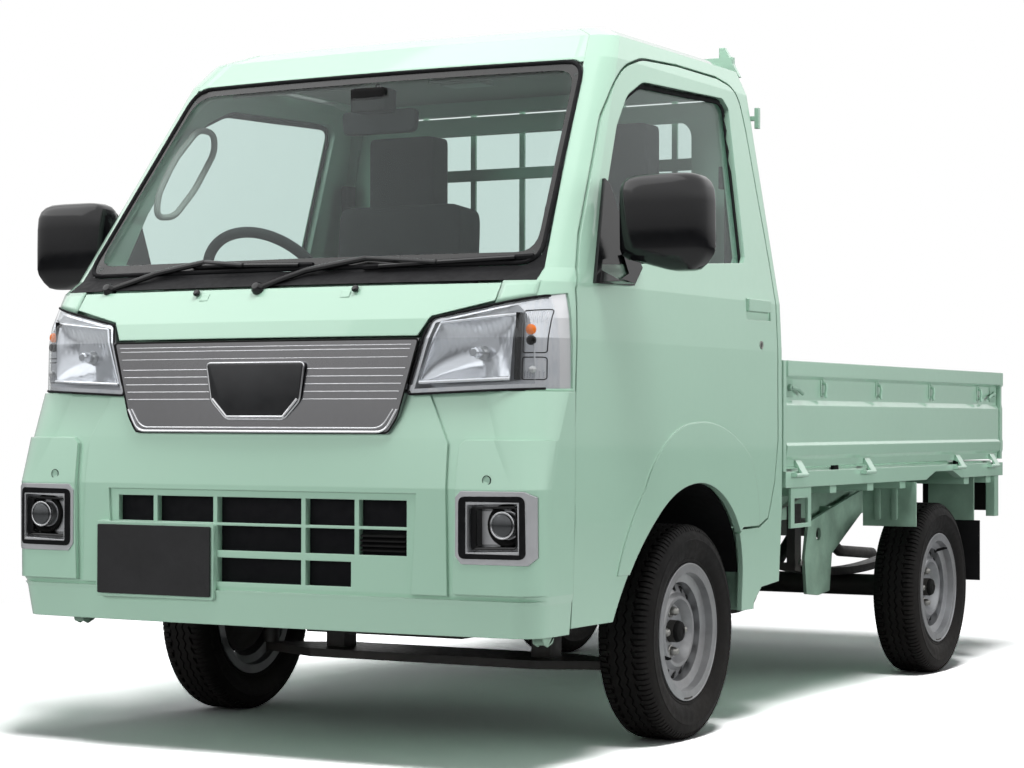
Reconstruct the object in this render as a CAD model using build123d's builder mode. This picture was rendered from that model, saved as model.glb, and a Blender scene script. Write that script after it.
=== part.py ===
from build123d import *
import math
import os

os.makedirs("parts", exist_ok=True)

# A small cab-over pickup with a drop-side bed. The front faces -Y, the vehicle's left is +X,
# and the origin lies on the ground under the middle of the whole vehicle.

# Driving sizes
overall_length = 3395.0
body_half_width = 737.5
cab_height = 1768.0
wheelbase = 1900.0
front_overhang = 870.0
tyre_radius = 268.0
tyre_width = 145.0
front_track = 1306.0
rear_track = 1300.0
overrun = 40.0
door_gap = 6.5
seam = 0.5
shut_gap = 5.0
sheet = 3.0

front_end = -overall_length / 2
rear_end = overall_length / 2
front_axle = front_end + front_overhang
rear_axle = front_axle + wheelbase

# Cab shell
cab_rear = -275.0
side_wall = 60.0
front_wall = 30.0
rear_wall_thickness = 32.0
roof_thickness = 30.0
roof_inside = cab_height - roof_thickness
corner_out_share = 0.74
corner_back_share = 0.30
# columns: level, half width, corner half width, front at middle, front at corner, side front, rear
cab_rows = [
    (300.0, 722.0, 560.0, -1660.0, -1632.0, -1500.0, cab_rear),
    (560.0, 733.0, 560.0, -1672.0, -1645.0, -1480.0, cab_rear),
    (760.0, 733.0, 560.0, -1682.0, -1652.0, -1478.0, cab_rear),
    (978.0, 732.0, 560.0, -1674.0, -1646.0, -1474.0, cab_rear),
    (1023.0, 730.0, 570.0, -1658.0, -1630.0, -1468.0, cab_rear),
    (1106.0, 726.0, 590.0, -1600.0, -1568.0, -1440.0, cab_rear),
    (1140.0, 720.0, 600.0, -1545.0, -1506.0, -1405.0, cab_rear),
    (1674.0, 629.0, 540.0, -1150.0, -1120.0, -1062.0, cab_rear),
    (1738.0, 604.0, 520.0, -1075.0, -1046.0, -1000.0, -288.0),
    (cab_height, 540.0, 470.0, -1000.0, -975.0, -930.0, -345.0),
]

# Door outline and window, seen from the side
door_front = -1484.0
door_rear = -305.0
door_skirt = 324.0
# columns: along, level
door_front_points = [(door_front, 771.0), (-1465.0, 1088.0), (-1392.0, 1216.0), (-1186.0, 1516.0),
                     (-1102.0, 1605.0)]
door_top_points = [(-1031.0, 1655.0), (-916.0, 1687.0), (-704.0, 1698.0), (-455.0, 1698.0)]
door_back_points = [(-376.0, 1686.0), (-337.0, 1655.0), (-324.0, 1573.0), (door_rear, 1216.0),
                    (door_rear, 739.0), (-327.0, 632.0), (-370.0, 538.0), (-424.0, 519.0), (-537.0, 518.0),
                    (-700.0, 400.0), (-900.0, door_skirt)]
window_points = [(-1320.0, 1155.0), (-1240.0, 1330.0), (-1127.0, 1500.0), (-1040.0, 1585.0),
                 (-936.0, 1630.0), (-447.0, 1646.0), (-416.0, 1622.0), (-464.0, 1222.0),
                 (-480.0, 1206.0)]
round_level = 1450.0
front_round_end = -800.0
door_front_round = 250.0
door_rear_round = 70.0
window_front_round = 120.0
window_rear_round = 20.0
window_sill = 1172.0
window_lip = 20.0
door_frame = 36.0
glass_thickness = 5.0
glass_inset = 16.0

# Front wheel arch, seen from the side
arch_rear = -520.0
arch_front = -1285.0
arch_rear_level = 481.0
# columns: along, level; every second point is passed by an arc between its neighbours
arch_curve = [(arch_front, 300.0), (-1164.0, 471.0), (-1037.0, 574.0), (-930.0, 622.0), (-812.0, 638.0),
              (-650.0, 594.0), (-552.0, 505.0), (-528.0, 440.0), (arch_rear, 372.0)]
arch_lip = 14.0
arch_relief = 24.0
flare_rise = 4.0
flare_curve = [(-1262.0, 430.0), (-1210.0, 535.0), (-1123.0, 631.0), (-1000.0, 745.0), (-835.0, 788.0),
               (-600.0, 755.0), (-491.0, 699.0), (-450.0, 620.0), (-433.0, 520.0)]
flare_foot = [(-560.0, 480.0), (-1180.0, 430.0)]
liner_gap = 6.0
liner_sheet = 4.0
liner_inside = 430.0
liner_outside = 706.0
liner_foot = 400.0
liner_front = -1168.5
liner_hole = 52.0
side_tail_points = [(-393.0, 355.0), (-440.0, 318.0)]
side_tail_level = 367.0

# Outside door handle
handle_front = -503.0
handle_rear = -342.0
handle_low = 1058.0
handle_high = 1112.0
handle_depth = 14.0
grip_low = 1080.0
grip_margin = 8.0

# Windscreen and rear window
screen_bottom = 1146.0
screen_top = 1668.0
screen_bottom_half = 655.0
screen_top_half = 574.0
screen_corner = 45.0
rear_window_bottom = 1225.0
rear_window_top = 1610.0
rear_window_half = 480.0

# Floor of the cab
footwell_level = 400.0
footwell_rear = -1185.0
seat_deck = 690.0
firewall = -1560.0
firewall_inset = 24.0
floor_sheet = 16.0

# Hood, grille and lamps
hood_bottom_half = 420.0
hood_notch_half = 445.0
hood_shoulder_half = 590.0
hood_bottom = 984.0
hood_notch = 1028.0
hood_shoulder = 1062.0
hood_top = 1103.0
hood_top_gap = 7.0
hood_pin = (-1596.0, 1093.0)
hood_pin_radius = 4.0
hood_lug_radius = 8.0
# columns: along, level, both from the pin
hood_lug_points = [(0.0, 0.0), (-11.0, 0.0), (-22.0, -16.0), (0.0, -8.0)]
hood_lug_length = 24.0
hood_lug_place = 200.0
hood_sheet = 5.0
grille_bottom = 762.0
grille_bottom_half = 355.0
grille_side_half = 380.0
grille_side_level = 800.0
grille_top = 978.0
grille_top_half = 430.0
grille_depth = 16.0
lamp_inner_top = (449.0, 1023.0)
lamp_inner_bottom = (398.0, 851.0)
lamp_outer_bottom = (760.0, 866.0)
lamp_outer_top = (760.0, 1088.0)
lamp_rear = -1496.0
lens_sheet = 4.0
lens_margin = 20.0
reflector_rim = 12.0
lamp_floor = -1590.0

# Front bumper
bumper_wall = 26.0
bumper_side_wall = 8.0
plate_thickness = 6.0
plate_back = front_end + plate_thickness
plate_gap = 0.3
nose = plate_back + plate_gap
bumper_top = 858.0
bumper_bottom = 311.0
bumper_side_rear = -1491.0
bumper_step = 12.0
bumper_face = nose + bumper_step
# columns: level, half width, corner half width, setback at middle, setback at corner, side front
bumper_rows = [
    (bumper_bottom, 722.0, 650.0, 14.0, 34.0, -1580.0),
    (384.0, 728.0, 660.0, 4.0, 24.0, -1590.0),
    (403.0, 733.0, 675.0, 0.0, 14.0, -1600.0),
    (640.0, 737.0, 675.0, 0.0, 14.0, -1600.0),
    (752.0, 737.0, 620.0, 8.0, 30.0, -1570.0),
    (bumper_top, 737.0, 580.0, 20.0, 50.0, -1520.0),
]
# columns: across, level
corner_box_points = [(528.0, 406.0), (760.0, 406.0), (760.0, 749.0), (550.0, 749.0), (536.0, 735.0)]
centre_points = [(512.0, 401.0), (505.0, 740.0), (440.0, bumper_top + bumper_step)]
recess_points = [(418.0, 390.0), (432.0, 628.0)]
lip_points = [(760.0, 300.0), (760.0, 393.0)]
centre_rise = 6.0
lip_rise = 9.0
# columns: low, high, right end
intake_rows = [(552.0, 612.0, 405.0), (487.0, 545.0, 405.0), (413.0, 470.0, 259.0)]
intake_columns = [(-405.0, -300.0), (-288.0, -124.0), (-112.0, 124.0), (136.0, 268.0), (280.0, 405.0)]
fog_outline = [(537.0, 492.0), (537.0, 622.0), (550.0, 636.0), (704.0, 636.0), (726.0, 624.0),
               (726.0, 490.0), (711.0, 474.0), (552.0, 474.0)]
fog_well_outline = [(566.0, 500.0), (566.0, 606.0), (690.0, 610.0), (692.0, 504.0)]
fog_lamp_middle = (648.0, 561.0)
fog_lamp_radius = 30.0
fog_lamp_length = 30.0
fog_depth = 60.0
fog_rise = 3.0
fog_wall = 6.0

# Plate blank
plate_width = 330.0
plate_height = 165.0
plate_middle = -287.0
plate_level = 459.0
plate_corner = 4.0
plate_margin = 8.0

# Carriers behind the grille and bumper
carrier_place = 300.0
carrier_width = 60.0
carrier_top = 940.0
carrier_foot = 400.0
carrier_front = -1632.0

# Cabin
dash_half = 640.0
# columns: along, level
dash_points = [(firewall + seam, 1085.0), (-1440.0, 1105.0), (-1300.0, 1085.0), (-1270.0, 1040.0),
               (-1330.0, 930.0), (-1350.0, 800.0), (-1430.0, 720.0), (firewall + seam, 720.0)]
driver_place = -330.0
wheel_hub = (-1150.0, 1130.0)
column_tilt = 38.0
column_gap = 30.0
column_radius = 24.0
column_length = 420.0
hub_height = 12.0
wheel_ring_radius = 178.0
wheel_grip_radius = 14.0
# degrees round the wheel
spoke_turns = [90.0, 210.0, 330.0]
spoke_width = 34.0
spoke_thickness = 10.0
seat_half = 215.0
seat_base = seat_deck + seam
cushion_front = -960.0
cushion_level = 880.0
seat_crown = 30.0
back_foot = -560.0
back_head = -505.0
back_top = 1300.0
seat_rear = -440.0
headrest_top = 1565.0
headrest_half = 125.0

# Door mirrors
mirror_along = -1270.0
# columns: level, half width, half depth, corner, middle across
mirror_rows = [(1137.0, 34.0, 28.0, 18.0, 905.0), (1168.0, 100.0, 48.0, 26.0, 862.0),
               (1182.0, 112.0, 58.0, 32.0, 861.0), (1300.0, 112.0, 60.0, 34.0, 860.0),
               (1344.0, 103.0, 54.0, 32.0, 858.0), (1363.0, 86.0, 40.0, 26.0, 856.0)]
sail_points = [(-1384.0, 1108.0), (-1250.0, 1362.0), (-1228.0, 1352.0), (-1208.0, 1296.0), (-1119.0, 1158.0),
               (-1180.0, 1112.0)]
sail_inside = 640.0
sail_thickness = 8.0
mirror_arm_points = [(-1360.0, 1112.0), (-1330.0, 1165.0), (-1215.0, 1185.0), (-1200.0, 1140.0),
                     (-1290.0, 1110.0)]
mirror_arm_reach = 790.0
mirror_arm_root = 680.0

# Wheels
rim_flange_radius = 170.0
rim_seat_radius = 152.0
rim_well_radius = 128.0
rim_width = 118.0
rim_sheet = 5.0
hub_bore_radius = 28.0
vent_count = 16
vent_circle_radius = 109.0
vent_radius = 10.0
hub_flange_radius = 66.0
hub_flange_thickness = 10.0
spindle_radius = 16.0
spindle_clearance = 0.3
brake_radius = 108.0
brake_thickness = 16.0
drum_radius = 112.0
drum_depth = 52.0

# Front suspension
kingpin = 540.0
strut_radius = 22.0
spring_radius = 46.0
spring_bottom = 552.0
arm_level = 176.0
arm_thickness = 22.0
ball_radius = 17.0

# Chassis
rail_middle = 370.0
rail_width = 56.0
rail_depth = 96.0
rail_low_level = 352.0
rail_high_level = 540.0
rail_front = -1560.0
rail_rise_start = -300.0
rail_rise_end = 330.0
rail_rear = 1600.0
cross_half_height = 34.0
cross_half_length = 30.0
cross_places = [-1480.0, -1180.0, -360.0, 380.0, 760.0, 1420.0]

# Bed
bed_front = -235.0
bed_rear = 1675.0
bed_half = 728.0
bed_floor_top = 662.0
bed_floor_sheet = 14.0
sill_bottom = 612.0
sill_width = 26.0
gate_bottom = 668.0
gate_top = 957.0
gate_thickness = 26.0
gate_face = 728.0
# columns: outwards from the gate's face, level
gate_profile = [(-gate_thickness, gate_bottom), (-9.0, gate_bottom), (-9.0, 688.0), (0.0, 698.0),
                (2.0, 726.0), (-4.0, 734.0), (-4.0, 836.0), (-13.0, 850.0), (-13.0, 908.0), (4.0, 916.0),
                (4.0, gate_top), (-gate_thickness, gate_top)]
leaf_points = [(-5.0, 686.0), (-9.0, 686.0), (-9.0, gate_bottom), (3.0, 664.0)]
gate_front = -228.0
gate_rear = 1642.0
rib_count = 9
hinge_level = 646.0
hinge_radius = 6.0
hinge_length = 86.0
hinge_places = [-156.0, 374.0, 1197.0, 1548.0]
hinge_clearance = 0.4
head_wall_rear = -231.0
guard_half = 560.0
guard_tube = 16.0
guard_top = 1786.0
guard_middle_level = 1500.0
guard_low_level = 1230.0
# columns: across, level
guard_hook_points = [(596.0, 1730.0), (552.0, 1813.0), (536.0, 1813.0), (536.0, 1776.0), (560.0, 1730.0)]
guard_peg_level = 1615.0
guard_peg_reach = 646.0
guard_peg_radius = 6.0
guard_peg_half = 28.0
border_drop = 6.0
border_side = 698.0
border_front = -224.0
border_rear = 1638.0
post_inside = 684.0
post_outside = 714.0
post_front = 1630.0
post_rear = 1672.0
post_bottom = 475.0
bracket_place = 704.0
bracket_sheet = 8.0
# columns: along, level
bracket_points = [(-160.0, 500.0), (-12.0, 500.0), (-12.0, 615.0), (-160.0, 615.0)]
bracket_hole_points = [(-134.0, 512.0), (-36.0, 512.0), (-36.0, 581.0), (-134.0, 581.0)]
hanger_place = 430.0
hanger_sheet = 10.0
hanger_points = [(645.0, 480.0), (615.0, 375.0), (632.0, 263.0), (726.0, 254.0), (822.0, 263.0),
                 (842.0, 378.0), (1104.0, 498.0), (1105.0, 571.0), (844.0, 521.0), (690.0, 491.0)]
hanger_arms = [(860.0, 508.0), (1070.0, 530.0)]
hanger_arm_size = 36.0
hanger_hole = (728.0, 443.0)
hanger_hole_radius = 20.0
floor_drop = 24.0
bearer_places = [-120.0, 180.0, 480.0, 760.0, 1370.0, 1600.0]
bearer_width = 50.0
sill_arch_half = 170.0
sill_arch_lift = 24.0
groove_spacing = 140.0
groove_width = 40.0
groove_depth = 5.0
groove_margin = 60.0
hinge_axis = 741.0
bed_front_face = -252.0
guard_middle = -241.0
guard_bars = 7
tail_face = 1675.0
tail_axis = rear_end - hinge_radius
tail_hinge_places = [-560.0, -60.0, 490.0]

# Wheel details
rim_lip = 6.0
well_half = 40.0
disc_seat = 10.0
# columns: place outwards, radius
disc_outer_face = [(8.0, 123.0), (12.0, 120.0), (24.0, 97.0), (34.0, 88.0), (34.0, 80.0), (disc_seat, 68.0),
                   (disc_seat, hub_bore_radius)]
disc_inner_face = [(3.0, 123.0), (7.0, 119.0), (19.0, 95.5), (29.0, 86.5), (29.0, 84.0),
                   (disc_seat - rim_sheet, 73.0), (disc_seat - rim_sheet, hub_bore_radius)]
hub_nose = 24.0
spindle_reach = 40.0
half_tread = 58.0
shoulder_drop = 12.0
ball_gap = 11.3
arm_root = 340.0
arm_half_length = 110.0
axle_radius = 34.0
diff_radius = 95.0
leaf_place = 400.0
leaf_width = 50.0
leaf_half = 500.0
leaf_eye_level = 362.0
leaf_stack = 24.0
engine_front = -1120.0
engine_rear = -420.0
engine_bottom = 250.0
engine_top = 640.0
engine_half = 230.0
shaft_radius = 26.0
tank_place = 545.0
tank_width = 260.0
tank_front = 120.0
tank_rear = 540.0
tank_bottom = 300.0
tank_top = 470.0
tank_corner = 40.0
mudguard_place = 790.0
mudguard_foot = 470.0
mudguard_inside = 563.0
mudguard_outside = 735.0
mudguard_sheet = 6.0
flap_place = 1450.0
flap_foot = 270.0
flap_head = 467.0
flap_inside = 545.0
flap_outside = 721.0
tail_lamp_place = 571.0
tail_lamp_width = 220.0
tail_lamp_depth = 40.0
tail_lamp_height = 118.0


def plan_section(level, half, corner, middle_front, corner_front, side_front, rear, inset=0.0):
    """One closed plan outline of the cab or bumper at its level, drawn inside the given inset."""
    across = half - inset
    turn = corner - inset / 2
    nose = middle_front + inset
    shoulder = corner_front + inset
    flank = side_front + inset
    back = rear - inset
    bend_x = turn + corner_out_share * (across - turn)
    bend_y = shoulder + corner_back_share * (flank - shoulder)
    with BuildSketch(Plane.XY.offset(level)) as outline:
        with BuildLine():
            ThreePointArc((-turn, shoulder), (0, nose), (turn, shoulder))
            ThreePointArc((turn, shoulder), (bend_x, bend_y), (across, flank))
            Line((across, flank), (across, back))
            Line((across, back), (-across, back))
            Line((-across, back), (-across, flank))
            ThreePointArc((-across, flank), (-bend_x, bend_y), (-turn, shoulder))
        make_face()
    return outline.sketch


def save(piece, name):
    piece.label = name
    export_step(piece, f"parts/{name}.step")


def save_pair(piece, name):
    """A handed piece and its mirror image, each in a node of its own."""
    save(piece, f"{name}_left")
    other = mirror(piece, about=Plane.YZ)
    save(other, f"{name}_right")


def save_both(piece, name):
    """A piece and its mirror image in one node."""
    with BuildPart() as both:
        add(piece)
        add(mirror(piece, about=Plane.YZ))
    save(both.part, name)


# Shapes that the cab's panels are cut from
with BuildPart() as cab_form:
    for row in cab_rows:
        add(plan_section(*row))
    loft(ruled=True)

with BuildPart() as cab_core:
    for level, half, corner, middle, shoulder, flank, rear in cab_rows:
        with BuildSketch(Plane.XY.offset(level)):
            Rectangle(2 * (half - side_wall), 2 * overall_length)
    loft(ruled=True)

with BuildPart() as side_slabs:
    add(cab_form.part)
    add(cab_core.part, mode=Mode.SUBTRACT)

with BuildPart() as left_slab:
    add(side_slabs.part)
    with BuildSketch(Plane.YZ):
        Rectangle(2 * overall_length, 4 * cab_height)
    extrude(amount=body_half_width, mode=Mode.INTERSECT)


with BuildSketch(Plane.YZ) as arch_outline:
    with BuildLine():
        Line((arch_front, 0), arch_curve[0])
        for start, through, finish in zip(arch_curve[::2], arch_curve[1::2], arch_curve[2::2]):
            ThreePointArc(start, through, finish)
        Line(arch_curve[-1], (arch_rear, 0))
        Line((arch_rear, 0), (arch_front, 0))
    make_face()

with BuildSketch(Plane.YZ) as door_outline:
    with BuildLine():
        Polyline((door_front, door_skirt), *door_front_points, *door_top_points, *door_back_points,
                 close=True)
    make_face()
    upper = door_outline.vertices().filter_by(lambda corner: corner.Y > round_level)
    fillet(upper.filter_by(lambda corner: corner.X < front_round_end), radius=door_front_round)
    upper = door_outline.vertices().filter_by(lambda corner: corner.Y > round_level)
    fillet(upper.filter_by(lambda corner: corner.X > door_top_points[-1][0] + shut_gap),
           radius=door_rear_round)

with BuildSketch(Plane.YZ) as window_outline:
    with BuildLine():
        Polyline(*window_points, close=True)
    make_face()
    upper = window_outline.vertices().filter_by(lambda corner: corner.Y > round_level)
    fillet(upper.filter_by(lambda corner: corner.X < front_round_end), radius=window_front_round)
    upper = window_outline.vertices().filter_by(lambda corner: corner.Y > round_level)
    fillet(upper.filter_by(lambda corner: corner.X > door_top_points[-1][0] - shut_gap),
           radius=window_rear_round)

with BuildPart() as window_prism:
    with BuildSketch(Plane.YZ):
        add(window_outline.sketch_local)
    extrude(amount=2 * body_half_width)

with BuildPart() as door_prism:
    with BuildSketch(Plane.YZ):
        add(door_outline.sketch_local)
    extrude(amount=2 * body_half_width)

with BuildPart() as arch_prism:
    with BuildSketch(Plane.YZ):
        add(arch_outline.sketch_local)
    extrude(amount=2 * body_half_width)

with BuildPart() as arch_relief_block:
    add(cab_form.part.moved(Location((-arch_lip, 0, 0))))
    with BuildSketch(Plane.YZ):
        add(arch_outline.sketch_local)
        offset(amount=arch_relief, kind=Kind.INTERSECTION)
    extrude(amount=2 * body_half_width, mode=Mode.INTERSECT)

with BuildPart() as flare:
    add(cab_form.part.moved(Location((flare_rise, 0, 0))))
    with BuildSketch(Plane.YZ.offset(body_half_width / 2)):
        with BuildLine():
            for start, through, finish in zip(flare_curve[::2], flare_curve[1::2], flare_curve[2::2]):
                ThreePointArc(start, through, finish)
            Polyline(flare_curve[-1], *flare_foot, flare_curve[0])
        make_face()
    extrude(amount=2 * body_half_width, mode=Mode.INTERSECT)
    add(cab_core.part, mode=Mode.SUBTRACT)

with BuildPart() as door_hole:
    with BuildSketch(Plane.YZ):
        add(door_outline.sketch_local)
        offset(amount=door_gap, kind=Kind.INTERSECTION)
    extrude(amount=2 * body_half_width)

# Headlamp, grille and hood outlines, seen from the front, and the prisms that cut them
with BuildPart() as lamp_prism:
    with BuildSketch(Plane.XZ):
        with BuildLine():
            Polyline(lamp_inner_top, lamp_inner_bottom, lamp_outer_bottom, lamp_outer_top, close=True)
        make_face()
    extrude(amount=overall_length)
    with BuildSketch(Plane.XY):
        with Locations((0, lamp_rear)):
            Rectangle(4 * body_half_width, overall_length, align=(Align.CENTER, Align.MAX))
    extrude(amount=2 * cab_height, mode=Mode.INTERSECT)

with BuildPart() as grille_prism:
    with BuildSketch(Plane.XZ):
        with BuildLine():
            Polyline((grille_bottom_half, grille_bottom), (grille_side_half, grille_side_level),
                     (grille_top_half, grille_top), (-grille_top_half, grille_top),
                     (-grille_side_half, grille_side_level), (-grille_bottom_half, grille_bottom), close=True)
        make_face()
    extrude(amount=overall_length)

hood_corners = [(hood_bottom_half, hood_bottom), (hood_notch_half, hood_notch),
                (hood_shoulder_half, hood_shoulder), (hood_shoulder_half, hood_top)]
with BuildPart() as hood_prism:
    with BuildSketch(Plane.XZ):
        with BuildLine():
            Polyline(*hood_corners, *[(-across, level) for across, level in reversed(hood_corners)],
                     close=True)
        make_face()
    extrude(amount=overall_length)

with BuildPart() as screen_prism:
    with BuildSketch(Plane.XZ):
        with BuildLine():
            Polyline((screen_bottom_half, screen_bottom), (screen_top_half, screen_top),
                     (-screen_top_half, screen_top), (-screen_bottom_half, screen_bottom), close=True)
        screen_face = make_face()
        fillet(screen_face.vertices(), radius=screen_corner)
    extrude(amount=overall_length)

# Doors, thinner round the window than below it
with BuildPart() as frame_core:
    for level, half, corner, middle, shoulder, flank, rear in cab_rows:
        with BuildSketch(Plane.XY.offset(level)):
            Rectangle(2 * (half - door_frame), 2 * overall_length)
    loft(ruled=True)
    with BuildSketch(Plane.XY.offset(window_sill + window_lip)):
        Rectangle(4 * body_half_width, 4 * overall_length)
    extrude(amount=cab_height, mode=Mode.INTERSECT)

with BuildPart() as door:
    add(left_slab.part)
    add(flare.part)
    add(frame_core.part, mode=Mode.SUBTRACT)
    add(door_prism.part, mode=Mode.INTERSECT)
    add(arch_prism.part, mode=Mode.SUBTRACT)
    add(arch_relief_block.part, mode=Mode.SUBTRACT)
    add(window_prism.part, mode=Mode.SUBTRACT)
    with Locations((body_half_width - handle_depth, handle_front, handle_low)):
        Box(overrun, handle_rear - handle_front, handle_high - handle_low,
            align=(Align.MIN, Align.MIN, Align.MIN), mode=Mode.SUBTRACT)
    with Locations((body_half_width - 2 * handle_depth, handle_front + grip_margin, grip_low)):
        Box(2 * handle_depth - shut_gap, handle_rear - handle_front - 2 * grip_margin,
            handle_high - grip_low, align=(Align.MIN, Align.MIN, Align.MIN))
save_pair(door.part, "door")

with BuildPart() as door_glass:
    add(cab_form.part.moved(Location((-glass_inset, 0, 0))))
    add(cab_form.part.moved(Location((-glass_inset - glass_thickness, 0, 0))), mode=Mode.SUBTRACT)
    add(window_prism.part, mode=Mode.INTERSECT)
save_pair(door_glass.part, "door_glass")

# Cab sides: front corner, screen pillar, roof rail, rear pillar and step panel
with BuildPart() as cab_side:
    add(left_slab.part)
    add(door_hole.part, mode=Mode.SUBTRACT)
    add(arch_prism.part, mode=Mode.SUBTRACT)
    add(lamp_prism.part, mode=Mode.SUBTRACT)
    add(screen_prism.part, mode=Mode.SUBTRACT)
    add(arch_relief_block.part, mode=Mode.SUBTRACT)
    with BuildSketch(Plane.YZ):
        with BuildLine():
            Polyline((cab_rear + overrun, side_tail_level), *side_tail_points, (side_tail_points[-1][0], 0),
                     (cab_rear + overrun, 0), close=True)
        make_face()
    extrude(amount=2 * body_half_width, mode=Mode.SUBTRACT)
    with Locations((0, door_front - door_gap, 0)):
        Box(4 * body_half_width, overall_length, 2 * (bumper_top + seam),
            align=(Align.CENTER, Align.MAX, Align.CENTER), mode=Mode.SUBTRACT)
    with Locations((0, arch_rear - overrun, 0)):
        Box(4 * body_half_width, overall_length, 2 * arch_rear_level,
            align=(Align.CENTER, Align.MAX, Align.CENTER), mode=Mode.SUBTRACT)
save_pair(cab_side.part, "cab_side")

# Liners over the front wheels
with BuildPart() as front_liner:
    with BuildSketch(Plane.YZ.offset(liner_inside)):
        add(arch_outline.sketch_local)
        offset(amount=liner_gap + liner_sheet, kind=Kind.INTERSECTION)
    extrude(amount=liner_outside - liner_inside)
    with BuildSketch(Plane.YZ.offset(liner_inside)):
        add(arch_outline.sketch_local)
        offset(amount=liner_gap, kind=Kind.INTERSECTION)
    extrude(amount=liner_outside - liner_inside, mode=Mode.SUBTRACT)
    with BuildSketch(Plane.XY.offset(liner_foot)):
        with Locations((0, liner_front)):
            Rectangle(4 * body_half_width, overall_length, align=(Align.CENTER, Align.MIN))
    extrude(amount=cab_height, mode=Mode.INTERSECT)
    with BuildSketch(Plane.XY.offset(liner_foot)):
        with Locations((kingpin, front_axle)):
            Circle(liner_hole)
    extrude(amount=cab_height, mode=Mode.SUBTRACT)
save_both(front_liner.part, "front_wheel_liners")


# Shell of the cab between the two sides
with BuildPart() as cabin_hollow:
    for level, half, corner, middle, shoulder, flank, rear in cab_rows[:-2]:
        add(plan_section(level, half + side_wall, corner, middle + front_wall, shoulder + front_wall,
                         flank + front_wall, rear - rear_wall_thickness))
    level, half, corner, middle, shoulder, flank, rear = cab_rows[-2]
    add(plan_section(roof_inside, half + side_wall, corner, middle + 2 * front_wall,
                     shoulder + 2 * front_wall, flank + 2 * front_wall, rear - rear_wall_thickness))
    loft(ruled=True)

with BuildPart() as cab_shell:
    add(cab_form.part)
    add(cab_core.part, mode=Mode.INTERSECT)
    add(cabin_hollow.part, mode=Mode.SUBTRACT)

roof_split = 1660.0
cowl_rise = 80.0
rear_split = -330.0
rear_wall_foot = 560.0

with BuildPart() as roof_panel:
    add(cab_shell.part)
    with BuildSketch(Plane.XY.offset(roof_split)):
        Rectangle(4 * body_half_width, 2 * overall_length)
    extrude(amount=cab_height, mode=Mode.INTERSECT)
    add(screen_prism.part, mode=Mode.SUBTRACT)
save(roof_panel.part, "roof_panel")

with BuildPart() as rear_wall:
    add(cab_shell.part)
    with BuildSketch(Plane.XZ.offset(-rear_split)):
        with Locations((0, rear_wall_foot)):
            Rectangle(4 * body_half_width, roof_split - rear_wall_foot, align=(Align.CENTER, Align.MIN))
    extrude(amount=-overall_length, mode=Mode.INTERSECT)
    with BuildSketch(Plane.XZ):
        with Locations((0, (rear_window_bottom + rear_window_top) / 2)):
            RectangleRounded(2 * rear_window_half, rear_window_top - rear_window_bottom, screen_corner)
    extrude(amount=overall_length, both=True, mode=Mode.SUBTRACT)
save(rear_wall.part, "cab_rear_wall")

with BuildPart() as rear_window:
    with BuildSketch(Plane.XZ.offset(-cab_rear + rear_wall_thickness / 2)):
        with Locations((0, (rear_window_bottom + rear_window_top) / 2)):
            RectangleRounded(2 * rear_window_half, rear_window_top - rear_window_bottom, screen_corner)
    extrude(amount=glass_thickness)
save(rear_window.part, "rear_window")

with BuildPart() as cowl:
    add(cab_shell.part)
    with BuildSketch(Plane.XY.offset(hood_top + hood_top_gap)):
        with Locations((0, rear_split)):
            Rectangle(4 * body_half_width, overall_length, align=(Align.CENTER, Align.MAX))
    extrude(amount=cowl_rise, mode=Mode.INTERSECT)
    add(screen_prism.part, mode=Mode.SUBTRACT)
save(cowl.part, "cowl")

with BuildPart() as windscreen:
    add(cab_form.part)
    add(cab_form.part.moved(Location((0, glass_thickness, 0))), mode=Mode.SUBTRACT)
    add(screen_prism.part, mode=Mode.INTERSECT)
    with BuildSketch(Plane.XY):
        with Locations((0, cab_rear - overrun)):
            Rectangle(4 * body_half_width, overall_length, align=(Align.CENTER, Align.MAX))
    extrude(amount=2 * cab_height, mode=Mode.INTERSECT)
save(windscreen.part, "windscreen")

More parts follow.
